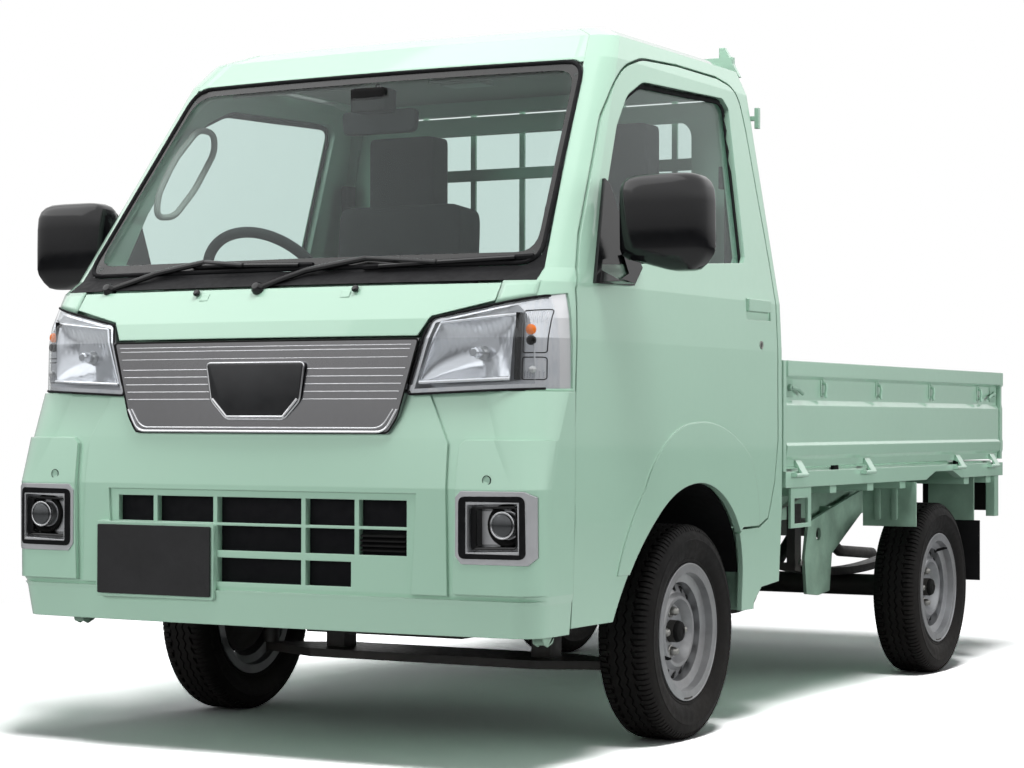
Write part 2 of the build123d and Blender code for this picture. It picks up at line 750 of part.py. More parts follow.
# Firewall, floor and seat deck, one bent panel
deck_half = 652.0
deck_rear = cab_rear - rear_wall_thickness
with BuildPart() as cab_floor:
    with BuildSketch(Plane.YZ):
        with BuildLine():
            Polyline((firewall, hood_top + hood_top_gap), (firewall, footwell_level),
                     (footwell_rear, footwell_level), (footwell_rear, seat_deck), (deck_rear, seat_deck),
                     (deck_rear, seat_deck - floor_sheet),
                     (footwell_rear + floor_sheet, seat_deck - floor_sheet),
                     (footwell_rear + floor_sheet, footwell_level - floor_sheet),
                     (firewall - floor_sheet, footwell_level - floor_sheet),
                     (firewall - floor_sheet, hood_top + hood_top_gap), close=True)
        make_face()
    extrude(amount=deck_half, both=True)
    add(cab_form.part.moved(Location((0, firewall_inset, 0))), mode=Mode.INTERSECT)
    for place in (-hood_lug_place, hood_lug_place):
        for side in (-1, 1):
            with BuildSketch(Plane.YZ.offset(place + side * (hood_lug_length / 2 + hinge_clearance))):
                with BuildLine():
                    Polyline((firewall - floor_sheet, hood_pin[1] - hood_lug_radius),
                             (hood_pin[0] + hood_pin_radius, hood_pin[1] - hood_pin_radius / 2),
                             (hood_pin[0], hood_pin[1] + hood_pin_radius / 2),
                             (hood_pin[0] - hood_pin_radius, hood_pin[1]),
                             (hood_pin[0], hood_pin[1] - hood_pin_radius),
                             (firewall - floor_sheet, hood_pin[1] - hood_lug_radius * 3), close=True)
                make_face()
            extrude(amount=side * sheet)
        with BuildSketch(Plane.YZ.offset(place - hood_lug_length / 2 - sheet)):
            with Locations(hood_pin):
                Circle(hood_pin_radius)
        extrude(amount=hood_lug_length + 2 * sheet)
    for place in (-carrier_place, carrier_place):
        with BuildSketch(Plane.YZ.offset(place - carrier_width / 2)):
            with BuildLine():
                Polyline((firewall - floor_sheet, carrier_top), (carrier_front, carrier_top),
                         (carrier_front, carrier_foot), (firewall - floor_sheet, carrier_foot), close=True)
            make_face()
        extrude(amount=carrier_width)
save(cab_floor.part, "cab_floor")

# Hood with its two hinge lugs
with BuildPart() as hood:
    add(hood_prism.part)
    add(cab_form.part, mode=Mode.INTERSECT)
    add(cab_form.part.moved(Location((0, hood_sheet, 0))), mode=Mode.SUBTRACT)
    with BuildSketch(Plane.XY):
        with Locations((0, cab_rear - overrun)):
            Rectangle(4 * body_half_width, overall_length, align=(Align.CENTER, Align.MAX))
    extrude(amount=2 * cab_height, mode=Mode.INTERSECT)
    for place in (-hood_lug_place, hood_lug_place):
        with BuildSketch(Plane.YZ.offset(place - hood_lug_length / 2)):
            with BuildLine():
                Polyline(*[(hood_pin[0] + along, hood_pin[1] + level) for along, level in hood_lug_points],
                         close=True)
            make_face()
            with Locations(hood_pin):
                Circle(hood_lug_radius)
        extrude(amount=hood_lug_length)
        with BuildSketch(Plane.YZ.offset(place - hood_lug_length)):
            with Locations(hood_pin):
                Circle(hood_pin_radius + hinge_clearance)
        extrude(amount=2 * hood_lug_length, mode=Mode.SUBTRACT)
save(hood.part, "hood")

# Grille plate, proud of the panel round it
grille_proud = 6.0
with BuildPart() as grille:
    add(grille_prism.part)
    add(cab_form.part.moved(Location((0, -grille_proud, 0))), mode=Mode.INTERSECT)
    add(cab_form.part.moved(Location((0, grille_depth, 0))), mode=Mode.SUBTRACT)
    with BuildSketch(Plane.XY):
        with Locations((0, firewall)):
            Rectangle(4 * body_half_width, overall_length, align=(Align.CENTER, Align.MAX))
    extrude(amount=2 * cab_height, mode=Mode.INTERSECT)
save(grille.part, "grille")

# Headlamps: a clear cover over a housing with a bowl
with BuildPart() as lamp_block:
    add(cab_form.part)
    add(lamp_prism.part, mode=Mode.INTERSECT)
    with BuildSketch(Plane.XY):
        with Locations((0, firewall - floor_sheet - seam)):
            Rectangle(2 * deck_half, overall_length, align=(Align.CENTER, Align.MIN))
    extrude(amount=2 * cab_height, mode=Mode.SUBTRACT)

with BuildPart() as headlamp_lens:
    add(lamp_block.part)
    add(lamp_block.part.moved(Location((-lens_sheet, lens_sheet, 0))), mode=Mode.SUBTRACT)
    with BuildSketch(Plane.XZ.offset(-firewall - lens_margin)):
        Rectangle(4 * body_half_width, 4 * cab_height)
    extrude(amount=overall_length, mode=Mode.INTERSECT)

with BuildPart() as headlamp_housing:
    add(lamp_block.part)
    add(lamp_block.part.moved(Location((-lens_sheet, lens_sheet, 0))), mode=Mode.INTERSECT)
    with BuildSketch(Plane.XZ.offset(-lamp_floor)):
        with BuildLine():
            Polyline(lamp_inner_top, lamp_inner_bottom, lamp_outer_bottom, lamp_outer_top, close=True)
        make_face()
        offset(amount=-reflector_rim, kind=Kind.INTERSECTION)
    extrude(amount=overall_length, mode=Mode.SUBTRACT)
save_both(headlamp_lens.part, "headlamp_lenses")
save_both(headlamp_housing.part, "headlamp_housings")

# Front bumper: boxed corners, raised middle, foot lip, air intake bars and fog lamp openings
def bumper_layer(rise, slimming=0.0):
    """The bumper's outer form, moved forwards by the rise and slimmer at each side."""
    with BuildPart() as layer:
        for level, half, corner, middle, shoulder, flank in bumper_rows:
            add(plan_section(level, half - slimming, corner - slimming, bumper_face + middle - rise,
                             bumper_face + shoulder - rise, flank - rise, bumper_side_rear - slimming))
        loft(ruled=True)
    return layer.part


bumper_form = bumper_layer(0.0)

with BuildPart() as bumper_hollow:
    for number, (level, half, corner, middle, shoulder, flank) in enumerate(bumper_rows):
        level = level + overrun * ((number == len(bumper_rows) - 1) - (number == 0))
        add(plan_section(level, half - bumper_side_wall, corner, bumper_face + middle + bumper_wall,
                         bumper_face + shoulder + bumper_wall, flank + bumper_wall,
                         bumper_side_rear + overrun))
    loft(ruled=True)

with BuildPart() as corner_boxes:
    with BuildSketch(Plane.XZ):
        with BuildLine():
            Polyline(*corner_box_points, close=True)
        make_face()
        mirror(about=Plane.YZ)
    extrude(amount=overall_length)
    add(bumper_layer(bumper_step, seam), mode=Mode.INTERSECT)

with BuildPart() as bumper_centre:
    with BuildSketch(Plane.XZ):
        with BuildLine():
            Polyline(*centre_points, *[(-across, level) for across, level in reversed(centre_points)],
                     close=True)
        make_face()
        with BuildLine():
            Polyline(*recess_points, *[(-across, level) for across, level in reversed(recess_points)],
                     close=True)
        make_face(mode=Mode.SUBTRACT)
    extrude(amount=overall_length)
    add(bumper_layer(centre_rise, seam), mode=Mode.INTERSECT)

with BuildPart() as bumper_lip:
    with BuildSketch(Plane.XZ):
        with BuildLine():
            Polyline(*lip_points, *[(-across, level) for across, level in reversed(lip_points)], close=True)
        make_face()
    extrude(amount=overall_length)
    add(bumper_layer(lip_rise, 2 * seam), mode=Mode.INTERSECT)

with BuildPart() as bumper:
    add(bumper_form)
    add(corner_boxes.part)
    add(bumper_centre.part)
    add(bumper_lip.part)
    with BuildSketch(Plane.XZ.offset(-(bumper_face + seam))):
        with Locations((plate_middle, plate_level)):
            RectangleRounded(plate_width + 2 * plate_margin, plate_height + 2 * plate_margin, plate_margin)
    extrude(amount=bumper_step + seam)
    add(bumper_hollow.part, mode=Mode.SUBTRACT)
    add(lamp_prism.part, mode=Mode.SUBTRACT)
    add(mirror(lamp_prism.part, about=Plane.YZ), mode=Mode.SUBTRACT)
    add(grille_prism.part, mode=Mode.SUBTRACT)
    with BuildSketch(Plane.XZ):
        for low, high, end in intake_rows:
            for left, right in intake_columns:
                beside_plate = left > plate_middle + plate_width / 2 + plate_margin
                if left < end and (low > plate_level + plate_height / 2 or beside_plate):
                    with Locations(((left + min(right, end)) / 2, (low + high) / 2)):
                        Rectangle(min(right, end) - left, high - low)
        with BuildLine():
            Polyline(*fog_outline, close=True)
        make_face()
        with BuildLine():
            Polyline(*[(-across, level) for across, level in fog_outline], close=True)
        make_face()
    extrude(amount=overall_length, mode=Mode.SUBTRACT)
save(bumper.part, "front_bumper")

# Fog lamps: a bright surround, a dark well and a round lamp in it
fog_back = front_end + fog_depth
with BuildPart() as fog_lamp:
    with BuildSketch(Plane.XZ.offset(-fog_back)):
        with BuildLine():
            Polyline(*fog_outline, close=True)
        make_face()
    extrude(amount=fog_depth)
    with BuildSketch(Plane.XZ.offset(-fog_back + fog_wall)):
        with BuildLine():
            Polyline(*fog_well_outline, close=True)
        make_face()
    extrude(amount=fog_depth, mode=Mode.SUBTRACT)
    with BuildSketch(Plane.XZ.offset(-fog_back)):
        with Locations(fog_lamp_middle):
            Circle(fog_lamp_radius)
    extrude(amount=fog_lamp_length)
    add(bumper_layer(bumper_step + fog_rise), mode=Mode.INTERSECT)
save_both(fog_lamp.part, "fog_lamps")

# Blank number plate on its carrier
with BuildPart() as plate:
    with BuildSketch(Plane.XZ.offset(-plate_back)):
        with Locations((plate_middle, plate_level)):
            RectangleRounded(plate_width, plate_height, plate_corner)
    extrude(amount=plate_thickness)
save(plate.part, "front_plate_blank")

# Dashboard across the cab, and the column that carries the steering wheel
with BuildPart() as dashboard:
    with BuildSketch(Plane.YZ):
        with BuildLine():
            Polyline(*dash_points, close=True)
        make_face()
    extrude(amount=dash_half, both=True)
save(dashboard.part, "dashboard")

column_plane = Plane(origin=(driver_place, wheel_hub[0], wheel_hub[1]), x_dir=(1, 0, 0),
                     z_dir=(0, math.cos(math.radians(column_tilt)), math.sin(math.radians(column_tilt))))
with BuildPart() as steering_column:
    with BuildSketch(column_plane.offset(-column_gap)):
        Circle(column_radius)
    extrude(amount=-column_length)
    add(dashboard.part, mode=Mode.SUBTRACT)
column_piece = steering_column.part.solids().sort_by(Axis.Y)[-1]
save(column_piece, "steering_column")

with BuildPart() as steering_wheel:
    with BuildSketch(column_plane.offset(-column_gap + hinge_clearance)):
        Circle(column_radius)
    extrude(amount=column_gap + hub_height)
    with BuildSketch(Plane(origin=column_plane.origin, x_dir=column_plane.z_dir, z_dir=(1, 0, 0))):
        with Locations((0, wheel_ring_radius)):
            Circle(wheel_grip_radius)
    revolve(axis=Axis(column_plane.origin, column_plane.z_dir))
    for turn in spoke_turns:
        spoke = column_plane.rotated((0, 0, turn))
        with BuildSketch(Plane(origin=column_plane.origin, x_dir=spoke.x_dir, z_dir=column_plane.z_dir)):
            with Locations((wheel_ring_radius / 2, 0)):
                Rectangle(wheel_ring_radius, spoke_width)
        extrude(amount=spoke_thickness)
save(steering_wheel.part, "steering_wheel")

# Seats with upright backs and one-piece headrests
with BuildPart() as seat:
    with BuildSketch(Plane.YZ.offset(driver_place - seat_half)):
        with BuildLine():
            Polyline((cushion_front, seat_base), (cushion_front - seat_crown, cushion_level - seat_crown),
                     (cushion_front, cushion_level), (back_foot, cushion_level - seat_crown),
                     (back_head, back_top), (seat_rear + seat_crown, back_top), (seat_rear, seat_base),
                     close=True)
        make_face()
    extrude(amount=2 * seat_half)
    with BuildSketch(Plane.YZ.offset(driver_place - headrest_half)):
        with BuildLine():
            Polyline((back_head - seat_crown, back_top - seat_crown),
                     (back_head, headrest_top - seat_crown), (back_head + seat_crown, headrest_top),
                     (seat_rear + seat_crown, headrest_top), (seat_rear + seat_crown, back_top - seat_crown),
                     close=True)
        make_face()
    extrude(amount=2 * headrest_half)
save_both(seat.part, "seats")

# Door mirrors: a sail on the window's front corner, an arm and a rounded head
with BuildPart() as mirror_sail:
    add(cab_form.part.moved(Location((sail_thickness, 0, 0))))
    with BuildSketch(Plane.YZ.offset(sail_inside)):
        with BuildLine():
            Polyline(*sail_points, close=True)
        make_face()
    extrude(amount=body_half_width, mode=Mode.INTERSECT)

with BuildPart() as mirror_head:
    for level, half, depth, corner, across in mirror_rows:
        with BuildSketch(Plane.XY.offset(level)):
            with Locations((across, mirror_along)):
                RectangleRounded(2 * half, 2 * depth, corner)
    loft(ruled=True)

with BuildPart() as door_mirror:
    add(mirror_sail.part)
    with BuildSketch(Plane.YZ.offset(mirror_arm_root)):
        with BuildLine():
            Polyline(*mirror_arm_points, close=True)
        make_face()
    extrude(amount=mirror_arm_reach - mirror_arm_root)
    add(cab_form.part, mode=Mode.SUBTRACT)
    add(mirror_head.part)
save_pair(door_mirror.part, "door_mirror")

# Frame: two rails that rise behind the cab, joined by cross members, with the cab's rear mounts
mount_front = rail_rise_start - cross_half_length * 2
mount_rear = rail_rise_start - cross_half_length
with BuildPart() as chassis_frame:
    for side in (-1, 1):
        with BuildSketch(Plane.YZ.offset(side * rail_middle - rail_width / 2)):
            with BuildLine():
                Polyline((rail_front, rail_low_level - rail_depth / 2),
                         (rail_rise_start, rail_low_level - rail_depth / 2),
                         (rail_rise_end, rail_high_level - rail_depth / 2),
                         (rail_rear, rail_high_level - rail_depth / 2),
                         (rail_rear, rail_high_level + rail_depth / 2),
                         (rail_rise_end, rail_high_level + rail_depth / 2),
                         (rail_rise_start, rail_low_level + rail_depth / 2 - floor_drop),
                         (rail_front, rail_low_level + rail_depth / 2 - floor_drop), close=True)
            make_face()
        extrude(amount=rail_width)
    for place in cross_places:
        level = rail_low_level - floor_drop / 2 if place < rail_rise_start else rail_high_level
        with Locations((0, place, level)):
            Box(2 * rail_middle - rail_width, 2 * cross_half_length, 2 * cross_half_height)
    for side in (-1, 1):
        with BuildSketch(Plane.YZ.offset(side * rail_middle - rail_width / 2)):
            with BuildLine():
                Polyline((mount_front, rail_low_level), (mount_rear, rail_low_level),
                         (mount_rear, seat_deck - floor_sheet), (mount_front, seat_deck - floor_sheet),
                         close=True)
            make_face()
        extrude(amount=rail_width)
    for side in (-1, 1):
        with BuildSketch(Plane.YZ.offset(side * hanger_place)):
            with BuildLine():
                Polyline(*hanger_points, close=True)
            make_face()
            with Locations(hanger_hole):
                Circle(hanger_hole_radius, mode=Mode.SUBTRACT)
        extrude(amount=side * hanger_sheet)
        for along, level in hanger_arms:
            with Locations((side * (rail_middle + hanger_place) / 2, along, level)):
                Box(hanger_place - rail_middle, hanger_arm_size, hanger_arm_size)
save(chassis_frame.part, "chassis_frame")

# Bed floor with corrugations, side sills cut over the rear wheels, and bearers on the rails
floor_bottom = bed_floor_top - bed_floor_sheet
with BuildPart() as bed_floor:
    with BuildSketch(Plane.XY.offset(floor_bottom)):
        with Locations((0, (bed_front + bed_rear) / 2)):
            Rectangle(2 * bed_half, bed_rear - bed_front)
    extrude(amount=bed_floor_sheet)
    for side in (-1, 1):
        with BuildSketch(Plane.YZ.offset(side * (bed_half - sill_width / 2) - sill_width / 2)):
            with BuildLine():
                Polyline((bed_front, floor_bottom), (bed_front, sill_bottom),
                         (rear_axle - sill_arch_half, sill_bottom),
                         (rear_axle - sill_arch_half / 2, sill_bottom + sill_arch_lift),
                         (rear_axle + sill_arch_half / 2, sill_bottom + sill_arch_lift),
                         (rear_axle + sill_arch_half, sill_bottom), (bed_rear, sill_bottom),
                         (bed_rear, floor_bottom), close=True)
            make_face()
        extrude(amount=sill_width)
    for place in bearer_places:
        with Locations((0, place, (floor_bottom + rail_high_level + rail_depth / 2) / 2)):
            Box(2 * (bed_half - sill_width), bearer_width, floor_bottom - rail_high_level - rail_depth / 2)
    with BuildSketch(Plane.XZ.offset(-bed_rear)):
        with Locations((0, (sill_bottom + floor_bottom) / 2)):
            Rectangle(2 * (bed_half - sill_width), floor_bottom - sill_bottom)
    extrude(amount=sill_width)
    for number in range(rib_count):
        place = (number - (rib_count - 1) / 2) * groove_spacing
        with Locations((place, (bed_front + bed_rear) / 2, bed_floor_top - groove_depth / 2)):
            Box(groove_width, bed_rear - bed_front - 2 * groove_margin, groove_depth, mode=Mode.SUBTRACT)
    for across, along, wide, long in (
            (border_side, bed_front, bed_half, bed_rear - bed_front),
            (-bed_half, bed_front, bed_half - border_side, bed_rear - bed_front),
            (-bed_half, bed_front, 2 * bed_half, border_front - bed_front),
            (-bed_half, border_rear, 2 * bed_half, bed_rear - border_rear)):
        with Locations((across, along, bed_floor_top - border_drop)):
            Box(wide, long, floor_drop, align=(Align.MIN, Align.MIN, Align.MIN), mode=Mode.SUBTRACT)
    for side in (-1, 1):
        for place in hinge_places:
            with BuildSketch(Plane.XZ.offset(hinge_clearance - place)):
                with Locations((side * (bed_half + hinge_axis) / 2, hinge_level)):
                    Rectangle(hinge_axis - bed_half, 2 * hinge_radius)
                with Locations((side * hinge_axis, hinge_level)):
                    Circle(hinge_radius)
            extrude(amount=hinge_length / 2 - 2 * hinge_clearance)
        with BuildSketch(Plane.YZ.offset(side * bracket_place)):
            with BuildLine():
                Polyline(*bracket_points, close=True)
            make_face()
            with BuildLine():
                Polyline(*bracket_hole_points, close=True)
            make_face(mode=Mode.SUBTRACT)
        extrude(amount=side * bracket_sheet)
        with Locations((side * (post_inside + post_outside) / 2, (post_front + post_rear) / 2,
                        (post_bottom + floor_bottom) / 2)):
            Box(post_outside - post_inside, post_rear - post_front, floor_bottom - post_bottom)
    for place in tail_hinge_places:
        with BuildSketch(Plane.YZ.offset(place - hinge_length / 2 + hinge_clearance)):
            with Locations(((bed_rear + tail_axis) / 2, hinge_level)):
                Rectangle(tail_axis - bed_rear, 2 * hinge_radius)
            with Locations((tail_axis, hinge_level)):
                Circle(hinge_radius)
        extrude(amount=hinge_length / 2 - 2 * hinge_clearance)
save(bed_floor.part, "bed_floor")

# Fixed wall at the front of the bed, with the guard frame behind the cab
with BuildPart() as bed_head_wall:
    with BuildSketch(Plane.XZ.offset(-head_wall_rear)):
        with Locations((0, bed_floor_top - border_drop)):
            Rectangle(2 * bed_half, gate_top - bed_floor_top + border_drop, align=(Align.CENTER, Align.MIN))
    extrude(amount=head_wall_rear - bed_front_face)
save(bed_head_wall.part, "bed_head_wall")

with BuildPart() as guard_frame:
    for side in (-1, 1):
        with BuildSketch(Plane.XY.offset(gate_top)):
            with Locations((side * guard_half, guard_middle)):
                Rectangle(2 * guard_tube, guard_tube)
        extrude(amount=guard_top - gate_top)
    for level in (guard_low_level, guard_middle_level, guard_top - guard_tube):
        with Locations((0, guard_middle, level)):
            Box(2 * guard_half - 2 * guard_tube, guard_tube, 2 * guard_tube)
    for number in range(1, guard_bars):
        place = (2 * number / guard_bars - 1) * guard_half
        with Locations((place, guard_middle, (guard_low_level + guard_top) / 2)):
            Box(guard_tube, guard_tube / 2, guard_top - guard_low_level - guard_tube)
    for side in (-1, 1):
        with BuildSketch(Plane.XZ.offset(-guard_middle - guard_tube / 2)):
            with BuildLine():
                Polyline(*[(side * across, level) for across, level in guard_hook_points], close=True)
            make_face()
        extrude(amount=guard_tube)
        with BuildSketch(Plane.XZ.offset(-guard_middle - guard_peg_radius)):
            with Locations((side * (guard_half + guard_peg_reach) / 2, guard_peg_level)):
                Rectangle(guard_peg_reach - guard_half, 2 * guard_peg_radius)
            with Locations((side * guard_peg_reach, guard_peg_level)):
                Rectangle(2 * guard_peg_radius, 2 * guard_peg_half)
        extrude(amount=2 * guard_peg_radius)
save(guard_frame.part, "guard_frame")

# Drop sides: pressed panel with a top rail, and the hinge leaves at its foot
with BuildPart() as side_gate:
    with BuildSketch(Plane.XZ.offset(-gate_front)):
        with BuildLine():
            Polyline(*[(gate_face + across, level) for across, level in gate_profile], close=True)
        make_face()
    extrude(amount=gate_front - gate_rear)
    for place in hinge_places:
        with BuildSketch(Plane.XZ.offset(-place)):
            with BuildLine():
                Polyline(*[(gate_face + across, level) for across, level in leaf_points],
                         (hinge_axis - hinge_radius, hinge_level), (hinge_axis + hinge_radius, hinge_level),
                         close=True)
            make_face()
            with Locations((hinge_axis, hinge_level)):
                Circle(hinge_radius)
        extrude(amount=-hinge_length / 2)
save_pair(side_gate.part, "side_gate")

with BuildPart() as tail_gate:
    with BuildSketch(Plane.YZ.offset(-bed_half)):
        with BuildLine():
            Polyline(*[(tail_face + across, level) for across, level in gate_profile], close=True)
        make_face()
    extrude(amount=2 * bed_half)
    for place in tail_hinge_places:
        with BuildSketch(Plane.YZ.offset(place)):
            with BuildLine():
                Polyline(*[(tail_face + across, level) for across, level in leaf_points],
                         (tail_axis - hinge_radius, hinge_level), (tail_axis + hinge_radius, hinge_level),
                         close=True)
            make_face()
            with Locations((tail_axis, hinge_level)):
                Circle(hinge_radius)
        extrude(amount=hinge_length / 2)
save(tail_gate.part, "tail_gate")

# Wheel, made about X at the origin with its outer side at +X, then placed
def wheel_outline(points):
    with BuildSketch(Plane.XY) as outline:
        with BuildLine():
            Polyline(*points, close=True)
        make_face()
    return outline.sketch


half_rim = rim_width / 2
with BuildPart() as rim_form:
    add(wheel_outline([
        (-half_rim, rim_seat_radius), (-half_rim, rim_flange_radius),
        (-half_rim + rim_lip, rim_flange_radius),
        (-half_rim + rim_lip, rim_seat_radius), (-well_half, rim_seat_radius - sheet),
        (-well_half + rim_lip, rim_well_radius), (well_half - rim_lip, rim_well_radius),
        (well_half, rim_seat_radius - sheet), (half_rim - rim_lip, rim_seat_radius),
        (half_rim - rim_lip, rim_flange_radius), (half_rim, rim_flange_radius),
        (half_rim, rim_seat_radius - rim_sheet), (well_half, rim_seat_radius - sheet - rim_sheet),
        (well_half - rim_lip, rim_well_radius - rim_sheet),
        *disc_outer_face, *reversed(disc_inner_face), (-well_half + rim_lip, rim_well_radius - rim_sheet),
        (-well_half, rim_seat_radius - sheet - rim_sheet), (-half_rim, rim_seat_radius - rim_sheet)]))
    revolve(axis=Axis.X)
    with BuildSketch(Plane.YZ):
        with PolarLocations(vent_circle_radius, vent_count):
            Circle(vent_radius)
    extrude(amount=half_rim, mode=Mode.SUBTRACT)

tyre_inner = half_rim - rim_lip
half_tyre = tyre_width / 2
with BuildPart() as tyre_form:
    with BuildSketch(Plane.XY):
        with BuildLine():
            Line((-tyre_inner, rim_seat_radius), (tyre_inner, rim_seat_radius))
            Line((tyre_inner, rim_seat_radius), (tyre_inner, rim_flange_radius + sheet))
            ThreePointArc((tyre_inner, rim_flange_radius + sheet),
                          (half_tyre, (rim_flange_radius + tyre_radius) / 2 - sheet),
                          (half_tread, tyre_radius - shoulder_drop))
            ThreePointArc((half_tread, tyre_radius - shoulder_drop),
                          (half_tread - shoulder_drop / 2, tyre_radius - shoulder_drop / 3),
                          (half_tread - shoulder_drop, tyre_radius))
            Line((half_tread - shoulder_drop, tyre_radius), (shoulder_drop - half_tread, tyre_radius))
            ThreePointArc((shoulder_drop - half_tread, tyre_radius),
                          (shoulder_drop / 2 - half_tread, tyre_radius - shoulder_drop / 3),
                          (-half_tread, tyre_radius - shoulder_drop))
            ThreePointArc((-half_tread, tyre_radius - shoulder_drop),
                          (-half_tyre, (rim_flange_radius + tyre_radius) / 2 - sheet),
                          (-tyre_inner, rim_flange_radius + sheet))
            Line((-tyre_inner, rim_flange_radius + sheet), (-tyre_inner, rim_seat_radius))
        make_face()
    revolve(axis=Axis.X)

# Hub with a brake disc at the front, hub with a drum at the rear
with BuildPart() as front_hub_form:
    with BuildSketch(Plane.YZ.offset(disc_seat - rim_sheet - hub_flange_thickness)):
        Circle(hub_flange_radius)
    extrude(amount=hub_flange_thickness)
    with BuildSketch(Plane.YZ.offset(disc_seat - rim_sheet)):
        Circle(hub_bore_radius - spindle_clearance)
    extrude(amount=hub_nose)
    with BuildSketch(Plane.YZ.offset(disc_seat - rim_sheet - hub_flange_thickness - brake_thickness)):
        Circle(brake_radius)
    extrude(amount=brake_thickness)
    with BuildSketch(Plane.YZ.offset(disc_seat - rim_sheet - hub_flange_thickness - brake_thickness)):
        Circle(spindle_radius + spindle_clearance)
    extrude(amount=spindle_reach, mode=Mode.SUBTRACT)

with BuildPart() as rear_hub_form:
    with BuildSketch(Plane.YZ.offset(disc_seat - rim_sheet - drum_depth)):
        Circle(drum_radius)
    extrude(amount=drum_depth)
    with BuildSketch(Plane.YZ.offset(disc_seat - rim_sheet)):
        Circle(hub_bore_radius - spindle_clearance)
    extrude(amount=hub_nose)
    with BuildSketch(Plane.YZ.offset(disc_seat - rim_sheet - drum_depth)):
        Circle(spindle_radius + spindle_clearance)
    extrude(amount=drum_depth, mode=Mode.SUBTRACT)

for end, along, track, hub in (("front", front_axle, front_track, front_hub_form),
                               ("rear", rear_axle, rear_track, rear_hub_form)):
    place = Location((track / 2, along, tyre_radius))
    save_pair(rim_form.part.moved(place), f"{end}_rim")
    save_pair(tyre_form.part.moved(place), f"{end}_tyre")
    save_pair(hub.part.moved(place), f"{end}_hub")

# Front knuckles with spindle and strut, turning on the kingpin line
hub_back = front_track / 2 + disc_seat - rim_sheet - hub_flange_thickness - brake_thickness
with BuildPart() as knuckle:
    with BuildSketch(Plane.YZ.offset(kingpin)):
        with Locations((front_axle, tyre_radius)):
            Circle(spindle_radius * 2)
    extrude(amount=hub_back - shut_gap - kingpin)
    with BuildSketch(Plane.YZ.offset(kingpin)):
        with Locations((front_axle, tyre_radius)):
            Circle(spindle_radius)
    extrude(amount=hub_back + spindle_reach - sheet - kingpin)
    with BuildSketch(Plane.XY.offset(arm_level + ball_gap)):
        with Locations((kingpin, front_axle)):
            Circle(strut_radius)
    extrude(amount=spring_bottom - arm_level - ball_gap)
    with BuildSketch(Plane.XY.offset(spring_bottom - sheet)):
        with Locations((kingpin, front_axle)):
            Circle(spring_radius)
    extrude(amount=sheet)
save_pair(knuckle.part, "front_knuckle")

# Coil springs between the strut's seat and the wheel house
with BuildPart() as strut_spring:
    with BuildSketch(Plane.XY.offset(spring_bottom + seam)):
        with Locations((kingpin, front_axle)):
            Circle(spring_radius)
            Circle(strut_radius + sheet, mode=Mode.SUBTRACT)
    extrude(amount=seat_deck - floor_sheet - spring_bottom - seam)
save_both(strut_spring.part, "strut_springs")

# Lower arms from the frame's cross piece to the knuckles
with BuildPart() as front_crossmember:
    with Locations((0, front_axle, arm_level)):
        Box(2 * arm_root, 2 * arm_half_length, arm_thickness)
    post_foot = arm_level + arm_thickness / 2
    post_head = rail_low_level - rail_depth / 2
    for side in (-1, 1):
        with Locations((side * (arm_root - rail_width / 2), front_axle, (post_foot + post_head) / 2)):
            Box(rail_width, 2 * cross_half_length, post_head - post_foot)
        with BuildSketch(Plane.XY.offset(arm_level - arm_thickness / 2)):
            with BuildLine():
                Polyline((side * arm_root, front_axle - arm_half_length),
                         (side * kingpin, front_axle - ball_radius),
                         (side * (kingpin + ball_radius), front_axle),
                         (side * kingpin, front_axle + ball_radius),
                         (side * arm_root, front_axle + arm_half_length), close=True)
            make_face()
        extrude(amount=arm_thickness)
save(front_crossmember.part, "front_lower_arms")

# Rear axle tube with its gear housing, and the leaf springs that hang it
with BuildPart() as rear_axle_beam:
    drum_back = rear_track / 2 + disc_seat - rim_sheet - drum_depth
    with BuildSketch(Plane.YZ.offset(-(drum_back - shut_gap))):
        with Locations((rear_axle, tyre_radius)):
            Circle(axle_radius)
    extrude(amount=2 * (drum_back - shut_gap))
    with BuildSketch(Plane.YZ.offset(-(drum_back + drum_depth - sheet))):
        with Locations((rear_axle, tyre_radius)):
            Circle(spindle_radius)
    extrude(amount=2 * (drum_back + drum_depth - sheet))
    with Locations((0, rear_axle, tyre_radius)):
        Sphere(diff_radius)
save(rear_axle_beam.part, "rear_axle")

rail_side = rail_middle + rail_width / 2
with BuildPart() as leaf_spring:
    with BuildSketch(Plane.YZ.offset(leaf_place - leaf_width / 2)):
        with BuildLine():
            ThreePointArc((rear_axle - leaf_half, leaf_eye_level),
                          (rear_axle, tyre_radius + axle_radius + leaf_stack),
                          (rear_axle + leaf_half, leaf_eye_level))
            Line((rear_axle + leaf_half, leaf_eye_level),
                 (rear_axle + leaf_half, leaf_eye_level - leaf_stack))
            ThreePointArc((rear_axle + leaf_half, leaf_eye_level - leaf_stack),
                          (rear_axle, tyre_radius + axle_radius),
                          (rear_axle - leaf_half, leaf_eye_level - leaf_stack))
            Line((rear_axle - leaf_half, leaf_eye_level - leaf_stack),
                 (rear_axle - leaf_half, leaf_eye_level))
        make_face()
    extrude(amount=leaf_width)
    for end in (-1, 1):
        with Locations(((rail_side + leaf_place + leaf_width / 2) / 2,
                        rear_axle + end * (leaf_half - leaf_width / 2),
                        (leaf_eye_level - leaf_stack + rail_high_level) / 2)):
            Box(leaf_place + leaf_width / 2 - rail_side, leaf_width,
                rail_high_level - leaf_eye_level + leaf_stack)
save_both(leaf_spring.part, "leaf_springs")

# Engine as one plain block under the seats, with its gearbox
with BuildPart() as engine:
    with Locations((0, (engine_front + engine_rear) / 2, (engine_bottom + engine_top) / 2)):
        Box(2 * engine_half, engine_rear - engine_front, engine_top - engine_bottom)
save(engine.part, "engine_block")

